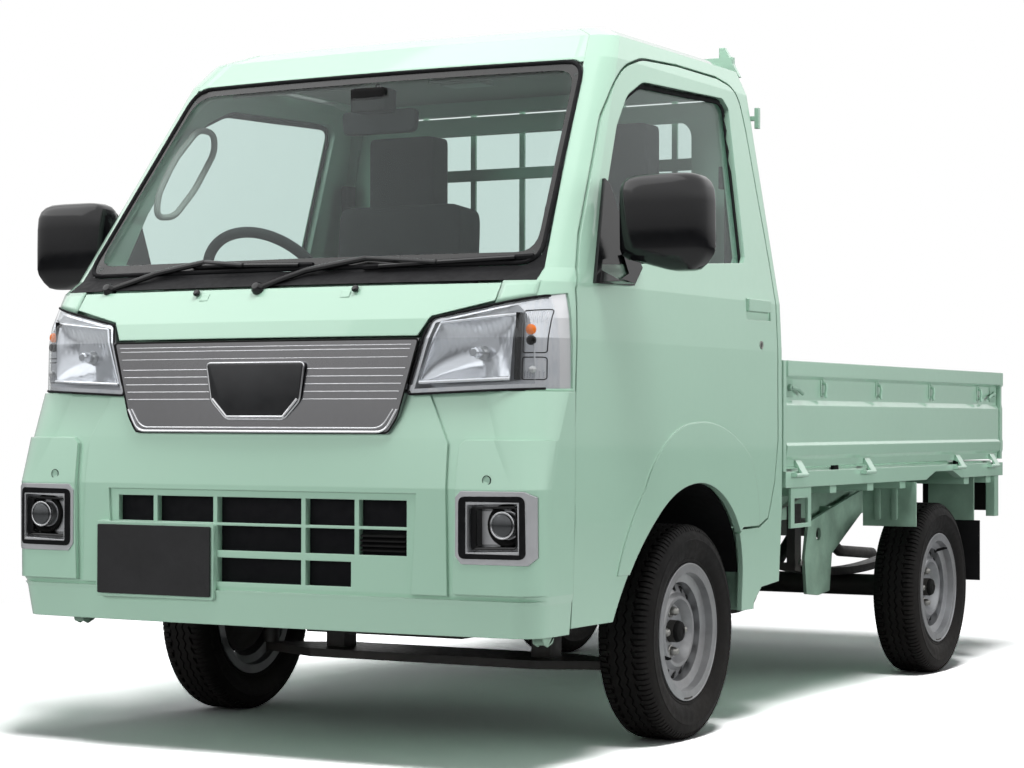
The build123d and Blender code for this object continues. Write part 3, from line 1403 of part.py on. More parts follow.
# Propeller shaft
with BuildPart() as propeller_shaft:
    shaft_start = Vector(0, engine_rear, tyre_radius)
    shaft_end = Vector(0, rear_axle - diff_radius, tyre_radius)
    shaft_line = shaft_end - shaft_start
    with BuildSketch(Plane(origin=shaft_start, x_dir=(1, 0, 0), z_dir=shaft_line)):
        Circle(shaft_radius)
    extrude(amount=shaft_line.length)
save(propeller_shaft.part, "propeller_shaft")

# Fuel tank hung under the bed
with BuildPart() as fuel_tank:
    with Locations((-tank_place, (tank_front + tank_rear) / 2, (tank_bottom + tank_top) / 2)):
        Box(tank_width, tank_rear - tank_front, tank_top - tank_bottom)
    fillet(fuel_tank.edges().filter_by(Axis.Y), radius=tank_corner)
    for place in (tank_front + bearer_width, tank_rear - bearer_width):
        with Locations((-(rail_side + tank_place) / 2, place, tank_top + tank_corner / 2)):
            Box(tank_place - rail_side, bearer_width, 2 * tank_corner)
save(fuel_tank.part, "fuel_tank")

# Rear mudguards: a plate ahead of the wheel, a bracket behind it, and the rubber flap on the bracket
hanger_reach = bed_half - sill_width - seam
with BuildPart() as mudguard:
    with Locations((mudguard_inside, mudguard_place, mudguard_foot)):
        Box(mudguard_outside - mudguard_inside, mudguard_sheet, sill_bottom - shut_gap - mudguard_foot,
            align=(Align.MIN, Align.CENTER, Align.MIN))
        Box(hanger_reach - mudguard_inside, mudguard_sheet, floor_bottom - mudguard_foot,
            align=(Align.MIN, Align.CENTER, Align.MIN))
    with Locations((flap_inside, flap_place, flap_head)):
        Box(hanger_reach - flap_inside, mudguard_sheet, floor_bottom - flap_head,
            align=(Align.MIN, Align.CENTER, Align.MIN))
save_both(mudguard.part, "rear_mudguards")

with BuildPart() as flap:
    with Locations((flap_inside, flap_place, flap_foot)):
        Box(flap_outside - flap_inside, mudguard_sheet, flap_head - flap_foot,
            align=(Align.MIN, Align.CENTER, Align.MIN))
save_both(flap.part, "rear_flaps")

# Rear lamps on a bar under the tail
with BuildPart() as tail_lamp:
    with Locations((tail_lamp_place, bed_rear - tail_lamp_depth / 2 - sheet, sill_bottom - tail_lamp_height / 2)):
        Box(tail_lamp_width, tail_lamp_depth, tail_lamp_height)
save_both(tail_lamp.part, "tail_lamps")
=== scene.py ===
import math

import bmesh
import bpy
from bpy.props import FloatProperty, FloatVectorProperty, IntProperty, PointerProperty
from mathutils import Matrix, Vector
from mathutils.bvhtree import BVHTree


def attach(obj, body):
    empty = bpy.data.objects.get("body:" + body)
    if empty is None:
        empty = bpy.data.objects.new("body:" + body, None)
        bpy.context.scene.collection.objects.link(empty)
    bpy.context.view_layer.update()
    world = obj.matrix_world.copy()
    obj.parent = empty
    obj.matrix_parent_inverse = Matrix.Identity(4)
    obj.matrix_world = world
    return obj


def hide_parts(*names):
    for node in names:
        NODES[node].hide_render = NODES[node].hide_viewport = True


bl_info = {
    "name": "Small Drop-Side Truck",
    "version": (1, 0, 0),
    "blender": (4, 5, 0),
    "location": "View3D > Sidebar > Truck",
    "description": "Dresses the solid model of a small cab-over pickup with paint, rubber, glass and trim",
    "category": "Object",
}

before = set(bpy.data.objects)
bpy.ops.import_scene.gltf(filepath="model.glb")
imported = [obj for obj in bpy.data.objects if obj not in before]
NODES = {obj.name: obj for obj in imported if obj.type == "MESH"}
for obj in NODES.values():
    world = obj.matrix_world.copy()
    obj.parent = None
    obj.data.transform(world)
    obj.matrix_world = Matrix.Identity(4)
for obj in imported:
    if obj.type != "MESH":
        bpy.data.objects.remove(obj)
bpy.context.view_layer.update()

# Places that the solids give, in metres
FRONT_AXLE = -0.8275
REAR_AXLE = 1.0725
AXLE_LEVEL = 0.268
WHEELS = {"front_wheel_left": (0.653, FRONT_AXLE), "front_wheel_right": (-0.653, FRONT_AXLE),
          "rear_wheel_left": (0.65, REAR_AXLE), "rear_wheel_right": (-0.65, REAR_AXLE)}
SIDES = (("left", 1.0), ("right", -1.0))
FORWARDS = (0.0, -1.0, 0.0)
BACKWARDS = (0.0, 1.0, 0.0)

# Circles and faces on a wheel, in metres from its middle
TYRE_CROWN = 0.2675
NUT_COUNT = 4
NUT_CIRCLE = 0.050
NUT_SEAT = 0.0102
VENT_COUNT = 16
VENT_CIRCLE = 0.109
VENT_FACE = 0.0148
RIM_STEPS = 96


def colour_property(name, description, default):
    return FloatVectorProperty(name=name, description=description, subtype="COLOR", size=3, min=0.0, max=1.0,
                               default=default)


def length_property(name, description, default):
    return FloatProperty(name=name, description=description, unit="LENGTH", min=0.0, default=default)


class TruckFinish(bpy.types.PropertyGroup):
    paint: colour_property("Paint", "Colour of the gloss body paint", (0.385, 0.60, 0.47))
    floor: colour_property("Floor", "Colour of the studio floor", (0.82, 0.82, 0.82))


class TruckSizes(bpy.types.PropertyGroup):
    tread_pitches: IntProperty(name="Tread pitches", description="Blocks in each row round a tyre", min=20,
                               default=58)
    tread_depth: length_property("Tread depth", "Depth of the grooves between the tread blocks", 0.007)
    line_count: IntProperty(name="Grille lines", description="Bright lines beside the grille's centre plate",
                            min=1, default=5)
    line_height: length_property("Grille line height", "Height of one bright line on the grille", 0.0024)
    rubber_width: length_property("Window rubber", "Width of the rubber round each door window", 0.014)


# Mesh building


def around(count, rings, closed=False):
    """The side faces of stacked rings with the same number of places."""
    total = rings + 1
    return [(here + i, here + (i + 1) % count, there + (i + 1) % count, there + i)
            for here, there in ((ring * count, (ring + 1) % total * count)
                                for ring in range(total if closed else rings))
            for i in range(count)]


class Shape:
    """Collects faces for one piece in metres, in the vehicle's own frame."""

    def __init__(self):
        self.bm = bmesh.new()

    def add(self, places, faces):
        corners = [self.bm.verts.new(place) for place in places]
        for face in faces:
            try:
                self.bm.faces.new([corners[number] for number in face])
            except ValueError:
                pass
        return corners

    def prism(self, outline, axis, start, end):
        """A closed outline drawn across an axis (x: along, level; y: across, level; z: across, along)."""
        def place(point, depth):
            first, second = point
            return {"x": (depth, first, second), "y": (first, depth, second),
                    "z": (first, second, depth)}[axis]
        count = len(outline)
        places = [place(point, start) for point in outline] + [place(point, end) for point in outline]
        faces = [tuple(range(count)), tuple(reversed(range(count, 2 * count)))]
        self.add(places, faces + around(count, 1))

    def box(self, low, high):
        self.prism([(low[0], low[1]), (high[0], low[1]), (high[0], high[1]), (low[0], high[1])], "z",
                   start=low[2], end=high[2])

    def lathe(self, profile, centre, axis=(1.0, 0.0, 0.0), steps=32):
        """A closed profile of (distance along the axis, radius) turned round it."""
        axis = Vector(axis).normalized()
        side = axis.orthogonal().normalized()
        other = axis.cross(side)
        places = []
        for step in range(steps):
            angle = 2.0 * math.pi * step / steps
            out = math.cos(angle) * side + math.sin(angle) * other
            places += [Vector(centre) + along * axis + radius * out for along, radius in profile]
        count = len(profile)
        faces = []
        for step in range(steps):
            here, there = step * count, (step + 1) % steps * count
            faces += [(here + i, there + i, there + (i + 1) % count, here + (i + 1) % count)
                      for i in range(count)]
        self.add(places, faces)

    def disc(self, radius, thickness, centre, axis, steps=24, rim=0.0):
        """A closed round plate or pin, with its edges cut back by the rim."""
        self.lathe([(0.0, 0.0), (0.0, radius - rim), (rim, radius), (thickness - rim, radius),
                    (thickness, radius - rim), (thickness, 0.0)], centre, axis, steps=steps)

    def tube(self, points, radius, sides=10, closed=False):
        """A round bar along straight runs, its rings turned halfway at each bend."""
        points = [Vector(point) for point in points]
        count = len(points)
        lines = []
        for number in range(count):
            before = points[number] - points[number - 1] if number or closed else None
            after = points[(number + 1) % count] - points[number] if number < count - 1 or closed else None
            parts = [line.normalized() for line in (before, after) if line is not None]
            lines.append(sum(parts, Vector()).normalized())
        side = lines[0].orthogonal().normalized()
        places = []
        for point, line in zip(points, lines):
            side = (side - side.dot(line) * line).normalized()
            other = line.cross(side)
            for step in range(sides):
                angle = 2.0 * math.pi * step / sides
                places.append(point + radius * (math.cos(angle) * side + math.sin(angle) * other))
        faces = around(sides, count - 1, closed)
        if not closed:
            faces += [tuple(reversed(range(sides))), tuple(range((count - 1) * sides, count * sides))]
        self.add(places, faces)

    def strip(self, first, second):
        """Quads between two rows of the same number of places."""
        count = len(first)
        self.add(list(first) + list(second),
                 [(i, i + 1, i + 1 + count, i + count) for i in range(count - 1)])

    def sheet(self, places, width):
        """Quads over rows of places, each row as wide as the others."""
        self.add(places, [(row * width + i, row * width + i + 1, (row + 1) * width + i + 1,
                           (row + 1) * width + i)
                          for row in range(len(places) // width - 1) for i in range(width - 1)])

    def mesh_of(self, obj, shift):
        """Adds a copy of another object's mesh."""
        start = len(self.bm.verts)
        self.bm.from_mesh(obj.data)
        self.bm.verts.ensure_lookup_table()
        for vert in self.bm.verts[start:]:
            vert.co += Vector(shift)

    def mirror(self):
        """Adds the mirror image about the vehicle's middle."""
        made = bmesh.ops.duplicate(self.bm, geom=self.bm.verts[:] + self.bm.edges[:] + self.bm.faces[:])
        for part in made["geom"]:
            if isinstance(part, bmesh.types.BMVert):
                part.co.x = -part.co.x
        return self

    def finish(self, name, material, body, bevel=0.0, segments=2, thickness=0.0, rounds=0, sharp=35.0,
               replaces=()):
        """Closes the piece: merges doubles, turns the faces outwards and lets it ride on its body."""
        bmesh.ops.remove_doubles(self.bm, verts=self.bm.verts, dist=0.00002)
        bmesh.ops.dissolve_degenerate(self.bm, edges=self.bm.edges, dist=0.00001)
        bmesh.ops.recalc_face_normals(self.bm, faces=self.bm.faces)
        mesh = bpy.data.meshes.new(name)
        self.bm.to_mesh(mesh)
        self.bm.free()
        obj = bpy.data.objects.new(name, mesh)
        bpy.context.scene.collection.objects.link(obj)
        mesh.materials.append(finish(material))
        if thickness:
            wall = obj.modifiers.new("Wall", "SOLIDIFY")
            wall.thickness = thickness
            wall.offset = -1.0
        if bevel:
            edges = obj.modifiers.new("Edges", "BEVEL")
            edges.width = bevel
            edges.segments = segments
            edges.limit_method = "ANGLE"
            edges.angle_limit = math.radians(40.0)
        if rounds:
            smooth = obj.modifiers.new("Rounding", "SUBSURF")
            smooth.levels = rounds
            smooth.render_levels = rounds
        mesh.shade_smooth()
        if not bevel and not rounds:
            mesh.set_sharp_from_angle(angle=math.radians(sharp))
        if replaces:
            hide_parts(*replaces)
        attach(obj, body)
        return obj


def blended(start, end, share):
    return tuple(first + share * (second - first) for first, second in zip(start, end))


def walk(points, spacing, closed=False):
    """The points of a route with more between them, no further apart than the spacing."""
    route = list(points) + ([points[0]] if closed else [])
    made = []
    for start, end in zip(route, route[1:]):
        steps = max(1, math.ceil(math.dist(start, end) / spacing))
        made += [blended(start, end, step / steps) for step in range(steps)]
    if not closed:
        made.append(tuple(route[-1]))
    return made


def rounded(outline, radius, steps=5):
    """A closed outline with its corners rounded."""
    made = []
    for number, corner in enumerate(outline):
        before, after = outline[number - 1], outline[(number + 1) % len(outline)]
        for end in (before, after):
            reach = min(radius, 0.45 * math.dist(corner, end)) / math.dist(corner, end)
            made.append(blended(corner, end, reach))
        first, last = made[-2:]
        del made[-2:]
        for step in range(steps + 1):
            share = step / steps
            made.append(blended(blended(first, corner, share), blended(corner, last, share), share))
    return made


def plate_outline(first, second, half_first, half_second, radius):
    """A rounded rectangle about its middle."""
    return rounded([(first - half_first, second - half_second), (first + half_first, second - half_second),
                    (first + half_first, second + half_second), (first - half_first, second + half_second)],
                   radius=radius)


def inset(outline, distance):
    """A closed outline moved inwards, whichever way round it runs."""
    area = sum(a[0] * b[1] - b[0] * a[1] for a, b in zip(outline, outline[1:] + outline[:1]))
    turn = 1.0 if area > 0.0 else -1.0
    made = []
    for number, corner in enumerate(outline):
        before, after = outline[number - 1], outline[(number + 1) % len(outline)]
        first = (Vector(corner) - Vector(before)).normalized()
        last = (Vector(after) - Vector(corner)).normalized()
        line = first + last
        if line.length < 1e-6:
            line = first
        line.normalize()
        normal = turn * Vector((-line.y, line.x))
        scale = 1.0 / max(0.4, abs(line.dot(first)))
        made.append(tuple(Vector(corner) + distance * scale * normal))
    return made


class Skin:
    """The surface of some solids, for pieces that lie on it."""

    def __init__(self, *nodes):
        places, faces = [], []
        for node in nodes:
            mesh = NODES[node].data
            start = len(places)
            places += [vert.co.copy() for vert in mesh.vertices]
            faces += [tuple(start + number for number in face.vertices) for face in mesh.polygons]
        self.tree = BVHTree.FromPolygons(places, faces)

    def hit(self, place, direction, lift=0.0):
        """The first point that a ray meets, lifted back along the ray."""
        direction = Vector(direction).normalized()
        found = self.tree.ray_cast(Vector(place), direction)[0]
        if found is None:
            beyond = [self.tree.find_nearest(Vector(place) + 0.1 * step * direction) for step in range(70)]
            found = min(beyond, key=lambda near: near[3])[0]
        return found - lift * direction

    def front(self, across, level, lift=0.0):
        return self.hit((across, -4.0, level), BACKWARDS, lift)

    def side(self, sign, along, level, lift=0.0):
        return self.hit((3.0 * sign, along, level), (-sign, 0.0, 0.0), lift)


# Repeats made with Geometry Nodes


def ring_tree():
    """A node group that repeats a unit on a circle round X and makes it real geometry."""
    tree = bpy.data.node_groups.new("Ring of units", "GeometryNodeTree")
    sides = tree.interface
    sides.new_socket("Geometry", in_out="INPUT", socket_type="NodeSocketGeometry")
    for label, kind in (("Unit", "NodeSocketObject"), ("Count", "NodeSocketInt"),
                        ("Radius", "NodeSocketFloat"), ("Material", "NodeSocketMaterial")):
        sides.new_socket(label, in_out="INPUT", socket_type=kind)
    sides.new_socket("Geometry", in_out="OUTPUT", socket_type="NodeSocketGeometry")
    start = tree.nodes.new("NodeGroupInput")
    unit = tree.nodes.new("GeometryNodeObjectInfo")
    unit.transform_space = "ORIGINAL"
    tree.links.new(start.outputs["Unit"], unit.inputs["Object"])
    instances = ring_nodes(tree, start, unit.outputs["Geometry"])
    real = tree.nodes.new("GeometryNodeRealizeInstances")
    paint = tree.nodes.new("GeometryNodeSetMaterial")
    end = tree.nodes.new("NodeGroupOutput")
    tree.links.new(instances, real.inputs["Geometry"])
    tree.links.new(real.outputs["Geometry"], paint.inputs["Geometry"])
    tree.links.new(start.outputs["Material"], paint.inputs["Material"])
    tree.links.new(paint.outputs["Geometry"], end.inputs[0])
    return tree


def ring_nodes(tree, start, unit):
    """Units on a circle round X, each turned to point outwards."""
    nodes, links = tree.nodes, tree.links
    line = nodes.new("GeometryNodeMeshLine")
    links.new(start.outputs["Count"], line.inputs["Count"])
    line.inputs["Offset"].default_value = (0.0, 0.0, 0.0)
    index = nodes.new("GeometryNodeInputIndex")
    share = nodes.new("ShaderNodeMath")
    share.operation = "DIVIDE"
    links.new(index.outputs["Index"], share.inputs[0])
    links.new(start.outputs["Count"], share.inputs[1])
    angle = nodes.new("ShaderNodeMath")
    angle.operation = "MULTIPLY"
    angle.inputs[1].default_value = 2.0 * math.pi
    links.new(share.outputs["Value"], angle.inputs[0])
    turn = nodes.new("ShaderNodeCombineXYZ")
    links.new(angle.outputs["Value"], turn.inputs["X"])
    reach = nodes.new("ShaderNodeCombineXYZ")
    links.new(start.outputs["Radius"], reach.inputs["Z"])
    place = nodes.new("ShaderNodeVectorRotate")
    place.rotation_type = "EULER_XYZ"
    links.new(reach.outputs["Vector"], place.inputs["Vector"])
    links.new(turn.outputs["Vector"], place.inputs["Rotation"])
    moved = nodes.new("GeometryNodeSetPosition")
    links.new(line.outputs["Mesh"], moved.inputs["Geometry"])
    links.new(place.outputs["Vector"], moved.inputs["Position"])
    placed = nodes.new("GeometryNodeInstanceOnPoints")
    links.new(moved.outputs["Geometry"], placed.inputs["Points"])
    links.new(unit, placed.inputs["Instance"])
    links.new(turn.outputs["Vector"], placed.inputs["Rotation"])
    return placed.outputs["Instances"]


def ring_of(unit, count, radius, material):
    """A Shape repeated in a ring, as a plain object that is used as building stuff."""
    bmesh.ops.recalc_face_normals(unit.bm, faces=unit.bm.faces)
    mesh = bpy.data.meshes.new("Unit")
    unit.bm.to_mesh(mesh)
    unit.bm.free()
    source = bpy.data.objects.new("Unit", mesh)
    holder = bpy.data.objects.new("Repeat", bpy.data.meshes.new("Repeat"))
    bpy.context.scene.collection.objects.link(source)
    bpy.context.scene.collection.objects.link(holder)
    tree = bpy.data.node_groups.get("Ring of units") or ring_tree()
    modifier = holder.modifiers.new("Ring", "NODES")
    modifier.node_group = tree
    values = {"Unit": source, "Count": count, "Radius": radius, "Material": finish(material)}
    for item in tree.interface.items_tree:
        if item.in_out == "INPUT" and item.name in values:
            modifier[item.identifier] = values[item.name]
    holder.update_tag()
    bpy.context.view_layer.update()
    made = bpy.data.meshes.new_from_object(holder.evaluated_get(bpy.context.evaluated_depsgraph_get()))
    holder.modifiers.clear()
    holder.data = made
    bpy.data.objects.remove(source)
    return holder


def use_up(holder, shape, shift):
    """Moves a repeat's mesh into a Shape and removes the repeat."""
    shape.mesh_of(holder, shift)
    bpy.data.objects.remove(holder)


# Materials


class Finish:
    """A node material with one Principled shader, and the few nodes that most finishes share."""

    def __init__(self, name, colour, roughness, metallic=0.0):
        self.material = bpy.data.materials.new(name)
        self.material.use_nodes = True
        self.tree = self.material.node_tree
        self.shader = self.tree.nodes["Principled BSDF"]
        self.shader.inputs["Base Color"].default_value = (*colour, 1.0)
        self.shader.inputs["Roughness"].default_value = roughness
        self.shader.inputs["Metallic"].default_value = metallic
        self.colour = colour
        self.place = self.tree.nodes.new("ShaderNodeTexCoord").outputs["Object"]
        self.normal = None

    def node(self, kind, **values):
        made = self.tree.nodes.new(kind)
        for key, value in values.items():
            if key in made.inputs:
                made.inputs[key].default_value = value
            else:
                setattr(made, key, value)
        return made

    def link(self, start, end):
        self.tree.links.new(start, end)

    def maths(self, operation, first, second=None):
        made = self.node("ShaderNodeMath", operation=operation)
        for socket, value in zip(made.inputs, (first, second)):
            if value is None:
                continue
            if isinstance(value, (int, float)):
                socket.default_value = value
            else:
                self.link(value, socket)
        return made.outputs["Value"]

    def noise(self, scale, detail=3.0):
        made = self.node("ShaderNodeTexNoise", Scale=scale, Detail=detail)
        self.link(self.place, made.inputs["Vector"])
        return made.outputs["Fac"]

    def ramp(self, value, low, high, start=0.35, end=0.65):
        made = self.node("ShaderNodeMapRange")
        made.inputs["From Min"].default_value = start
        made.inputs["From Max"].default_value = end
        made.inputs["To Min"].default_value = low
        made.inputs["To Max"].default_value = high
        self.link(value, made.inputs["Value"])
        return made.outputs["Result"]

    def blend_colour(self, factor, first, second):
        made = self.node("ShaderNodeMix", data_type="RGBA")
        colours = [socket for socket in made.inputs if socket.type == "RGBA"]
        for socket, colour in zip(colours, (first, second)):
            if isinstance(colour, (tuple, list)):
                socket.default_value = (*colour, 1.0)
            else:
                self.link(colour, socket)
        self.link(factor, made.inputs[0])
        return [socket for socket in made.outputs if socket.type == "RGBA"][0]

    def vary_colour(self, factor, other):
        base = self.shader.inputs["Base Color"]
        first = base.links[0].from_socket if base.links else self.colour
        self.link(self.blend_colour(factor, first, other), base)

    def vary_roughness(self, value, low, high):
        self.link(self.ramp(value, low, high), self.shader.inputs["Roughness"])

    def bump(self, height, strength, distance):
        made = self.node("ShaderNodeBump", Strength=strength, Distance=distance)
        self.link(height, made.inputs["Height"])
        if self.normal:
            self.link(self.normal, made.inputs["Normal"])
        self.normal = made.outputs["Normal"]
        self.link(self.normal, self.shader.inputs["Normal"])

    def soften_edges(self, radius):
        made = self.node("ShaderNodeBevel", samples=4, Radius=radius)
        self.normal = made.outputs["Normal"]
        self.link(self.normal, self.shader.inputs["Normal"])
        if self.shader.inputs["Coat Weight"].default_value:
            self.link(self.normal, self.shader.inputs["Coat Normal"])

    def height_mask(self, low, high):
        """1 below low, 0 above high, in metres over the ground."""
        parts = self.node("ShaderNodeSeparateXYZ")
        self.link(self.place, parts.inputs["Vector"])
        return self.ramp(parts.outputs["Z"], 1.0, 0.0, low, high)


def make_paint(name, colour):
    paint = Finish(name, colour, roughness=0.32)
    paint.shader.inputs["Coat Weight"].default_value = 1.0
    paint.shader.inputs["Coat Roughness"].default_value = 0.04
    paint.soften_edges(radius=0.004)
    shade = tuple(0.94 * part for part in colour)
    paint.vary_colour(paint.ramp(paint.noise(scale=1.7, detail=2.0), 0.0, 0.7), shade)
    paint.vary_roughness(paint.noise(scale=45.0), low=0.28, high=0.36)
    return paint.material


def make_plain(name, colour, roughness, metallic=0.0, grain=0.0, grain_scale=900.0, edge=0.0, spread=0.06,
               shade=0.75, dust=0.0):
    made = Finish(name, colour, roughness=roughness, metallic=metallic)
    if edge:
        made.soften_edges(radius=edge)
    made.vary_colour(made.ramp(made.noise(scale=14.0), 0.0, 1.0), tuple(shade * part for part in colour))
    if dust:
        cover = made.maths("MULTIPLY", made.height_mask(low=0.0, high=0.7), dust)
        made.vary_colour(made.maths("MULTIPLY", cover, made.noise(scale=9.0)), (0.16, 0.14, 0.12))
    made.vary_roughness(made.noise(scale=60.0), low=max(roughness - spread, 0.0),
                        high=min(roughness + spread, 1.0))
    if not metallic and roughness > 0.5:
        made.shader.inputs["Specular IOR Level"].default_value = 0.12
    if grain:
        made.bump(made.noise(scale=grain_scale, detail=2.0), strength=0.35, distance=grain)
    return made.material


def make_glass(name, tint, share):
    """Thin glass: lets light through with a faint tint and mirrors more at a glancing angle."""
    roughness = 0.01
    glance_power = 5.0
    made = Finish(name, (0.9, 0.92, 0.93), roughness=roughness, metallic=1.0)
    clear = made.node("ShaderNodeBsdfTransparent", Color=(*tint, 1.0))
    facing = made.node("ShaderNodeLayerWeight", Blend=0.5).outputs["Facing"]
    glance = made.maths("POWER", facing, glance_power)
    amount = made.ramp(glance, share, 1.0, 0.0, 1.0)
    made.vary_roughness(made.noise(scale=3.0), low=roughness, high=roughness + 0.01)
    mix = made.node("ShaderNodeMixShader")
    made.link(amount, mix.inputs["Fac"])
    made.link(clear.outputs["BSDF"], mix.inputs[1])
    made.link(made.shader.outputs["BSDF"], mix.inputs[2])
    made.link(mix.outputs["Shader"], made.tree.nodes["Material Output"].inputs["Surface"])
    return made.material


def make_cloth(name, colour, thread):
    """Woven cloth: crossed threads and a soft sheen."""
    cloth = Finish(name, colour, roughness=0.85)
    cloth.shader.inputs["Sheen Weight"].default_value = 0.1
    cloth.shader.inputs["Sheen Roughness"].default_value = 0.5
    heights = []
    for direction in ("X", "Z"):
        wave = cloth.node("ShaderNodeTexWave", Scale=thread, Distortion=1.2, bands_direction=direction)
        cloth.link(cloth.place, wave.inputs["Vector"])
        heights.append(wave.outputs["Fac"])
    weave = cloth.maths("MAXIMUM", *heights)
    cloth.vary_colour(cloth.ramp(weave, 1.0, 0.0, 0.2, 0.8), tuple(0.85 * part for part in colour))
    cloth.vary_roughness(cloth.noise(scale=30.0), low=0.8, high=0.95)
    cloth.bump(weave, strength=0.15, distance=0.0002)
    return cloth.material


def make_steel(name, colour):
    """Silver paint on pressed wheels, greyer in patches of dust."""
    steel = Finish(name, colour, roughness=0.35, metallic=0.55)
    steel.shader.inputs["Coat Weight"].default_value = 0.4
    steel.soften_edges(radius=0.0015)
    steel.vary_colour(steel.ramp(steel.noise(scale=30.0), 0.0, 1.0), tuple(0.86 * part for part in colour))
    steel.vary_colour(steel.ramp(steel.noise(scale=6.0), 0.0, 0.25), (0.2, 0.18, 0.16))
    steel.vary_roughness(steel.noise(scale=80.0), low=0.3, high=0.42)
    steel.bump(steel.noise(scale=1200.0, detail=2.0), strength=0.15, distance=0.0002)
    return steel.material


def make_mesh(name, colour, pitch):
    """Black sheet with rows of small holes, drawn by their height and by painted shade in their colour."""
    sheet = Finish(name, colour, roughness=0.6)
    sheet.shader.inputs["Specular IOR Level"].default_value = 0.1
    cells = sheet.node("ShaderNodeTexVoronoi", Scale=1.0 / pitch, Randomness=0.0)
    sheet.link(sheet.place, cells.inputs["Vector"])
    hole_and_shade = sheet.ramp(cells.outputs["Distance"], 1.0, 0.0, 0.25, 0.4)
    # The holes' near-black colour is painted shade for the dark seen through them; the bump below gives their
    # real depth
    sheet.vary_colour(hole_and_shade, (0.001, 0.001, 0.001))
    sheet.vary_roughness(sheet.noise(scale=40.0), low=0.5, high=0.7)
    sheet.bump(hole_and_shade, strength=-0.5, distance=0.001)
    return sheet.material


FINISHES = {}


def finish(name):
    return FINISHES[name]


NODE_FINISHES = {
    "paint": ["cab_side_left", "cab_side_right", "door_left", "door_right", "roof_panel", "cab_rear_wall",
              "hood", "front_bumper", "side_gate_left", "side_gate_right", "tail_gate", "bed_head_wall",
              "guard_frame", "bed_floor"],
    "satin_paint": ["cab_floor", "chassis_frame", "rear_mudguards"],
    "satin_black": ["front_lower_arms", "rear_axle", "leaf_springs", "strut_springs", "propeller_shaft",
                    "fuel_tank", "front_knuckle_left", "front_knuckle_right"],
    "casting": ["engine_block", "front_hub_left", "front_hub_right", "rear_hub_left", "rear_hub_right"],
    "wheel_silver": ["front_rim_left", "front_rim_right", "rear_rim_left", "rear_rim_right"],
    "rubber": ["rear_flaps", "front_wheel_liners"],
    "gloss_black": ["door_mirror_left", "door_mirror_right"],
    "plate_grey": ["front_plate_blank"],
    "cowl_plastic": ["cowl"],
    "dash_plastic": ["dashboard", "steering_column", "steering_wheel"],
    "satin_chrome": ["fog_lamps"],
    "smoked_chrome": ["grille"],
    "lens": ["headlamp_lenses"],
    "glass": ["windscreen", "rear_window", "door_glass_left", "door_glass_right"],
    "lamp_body": ["headlamp_housings"],
    "flat_black": ["tail_lamps"],
}


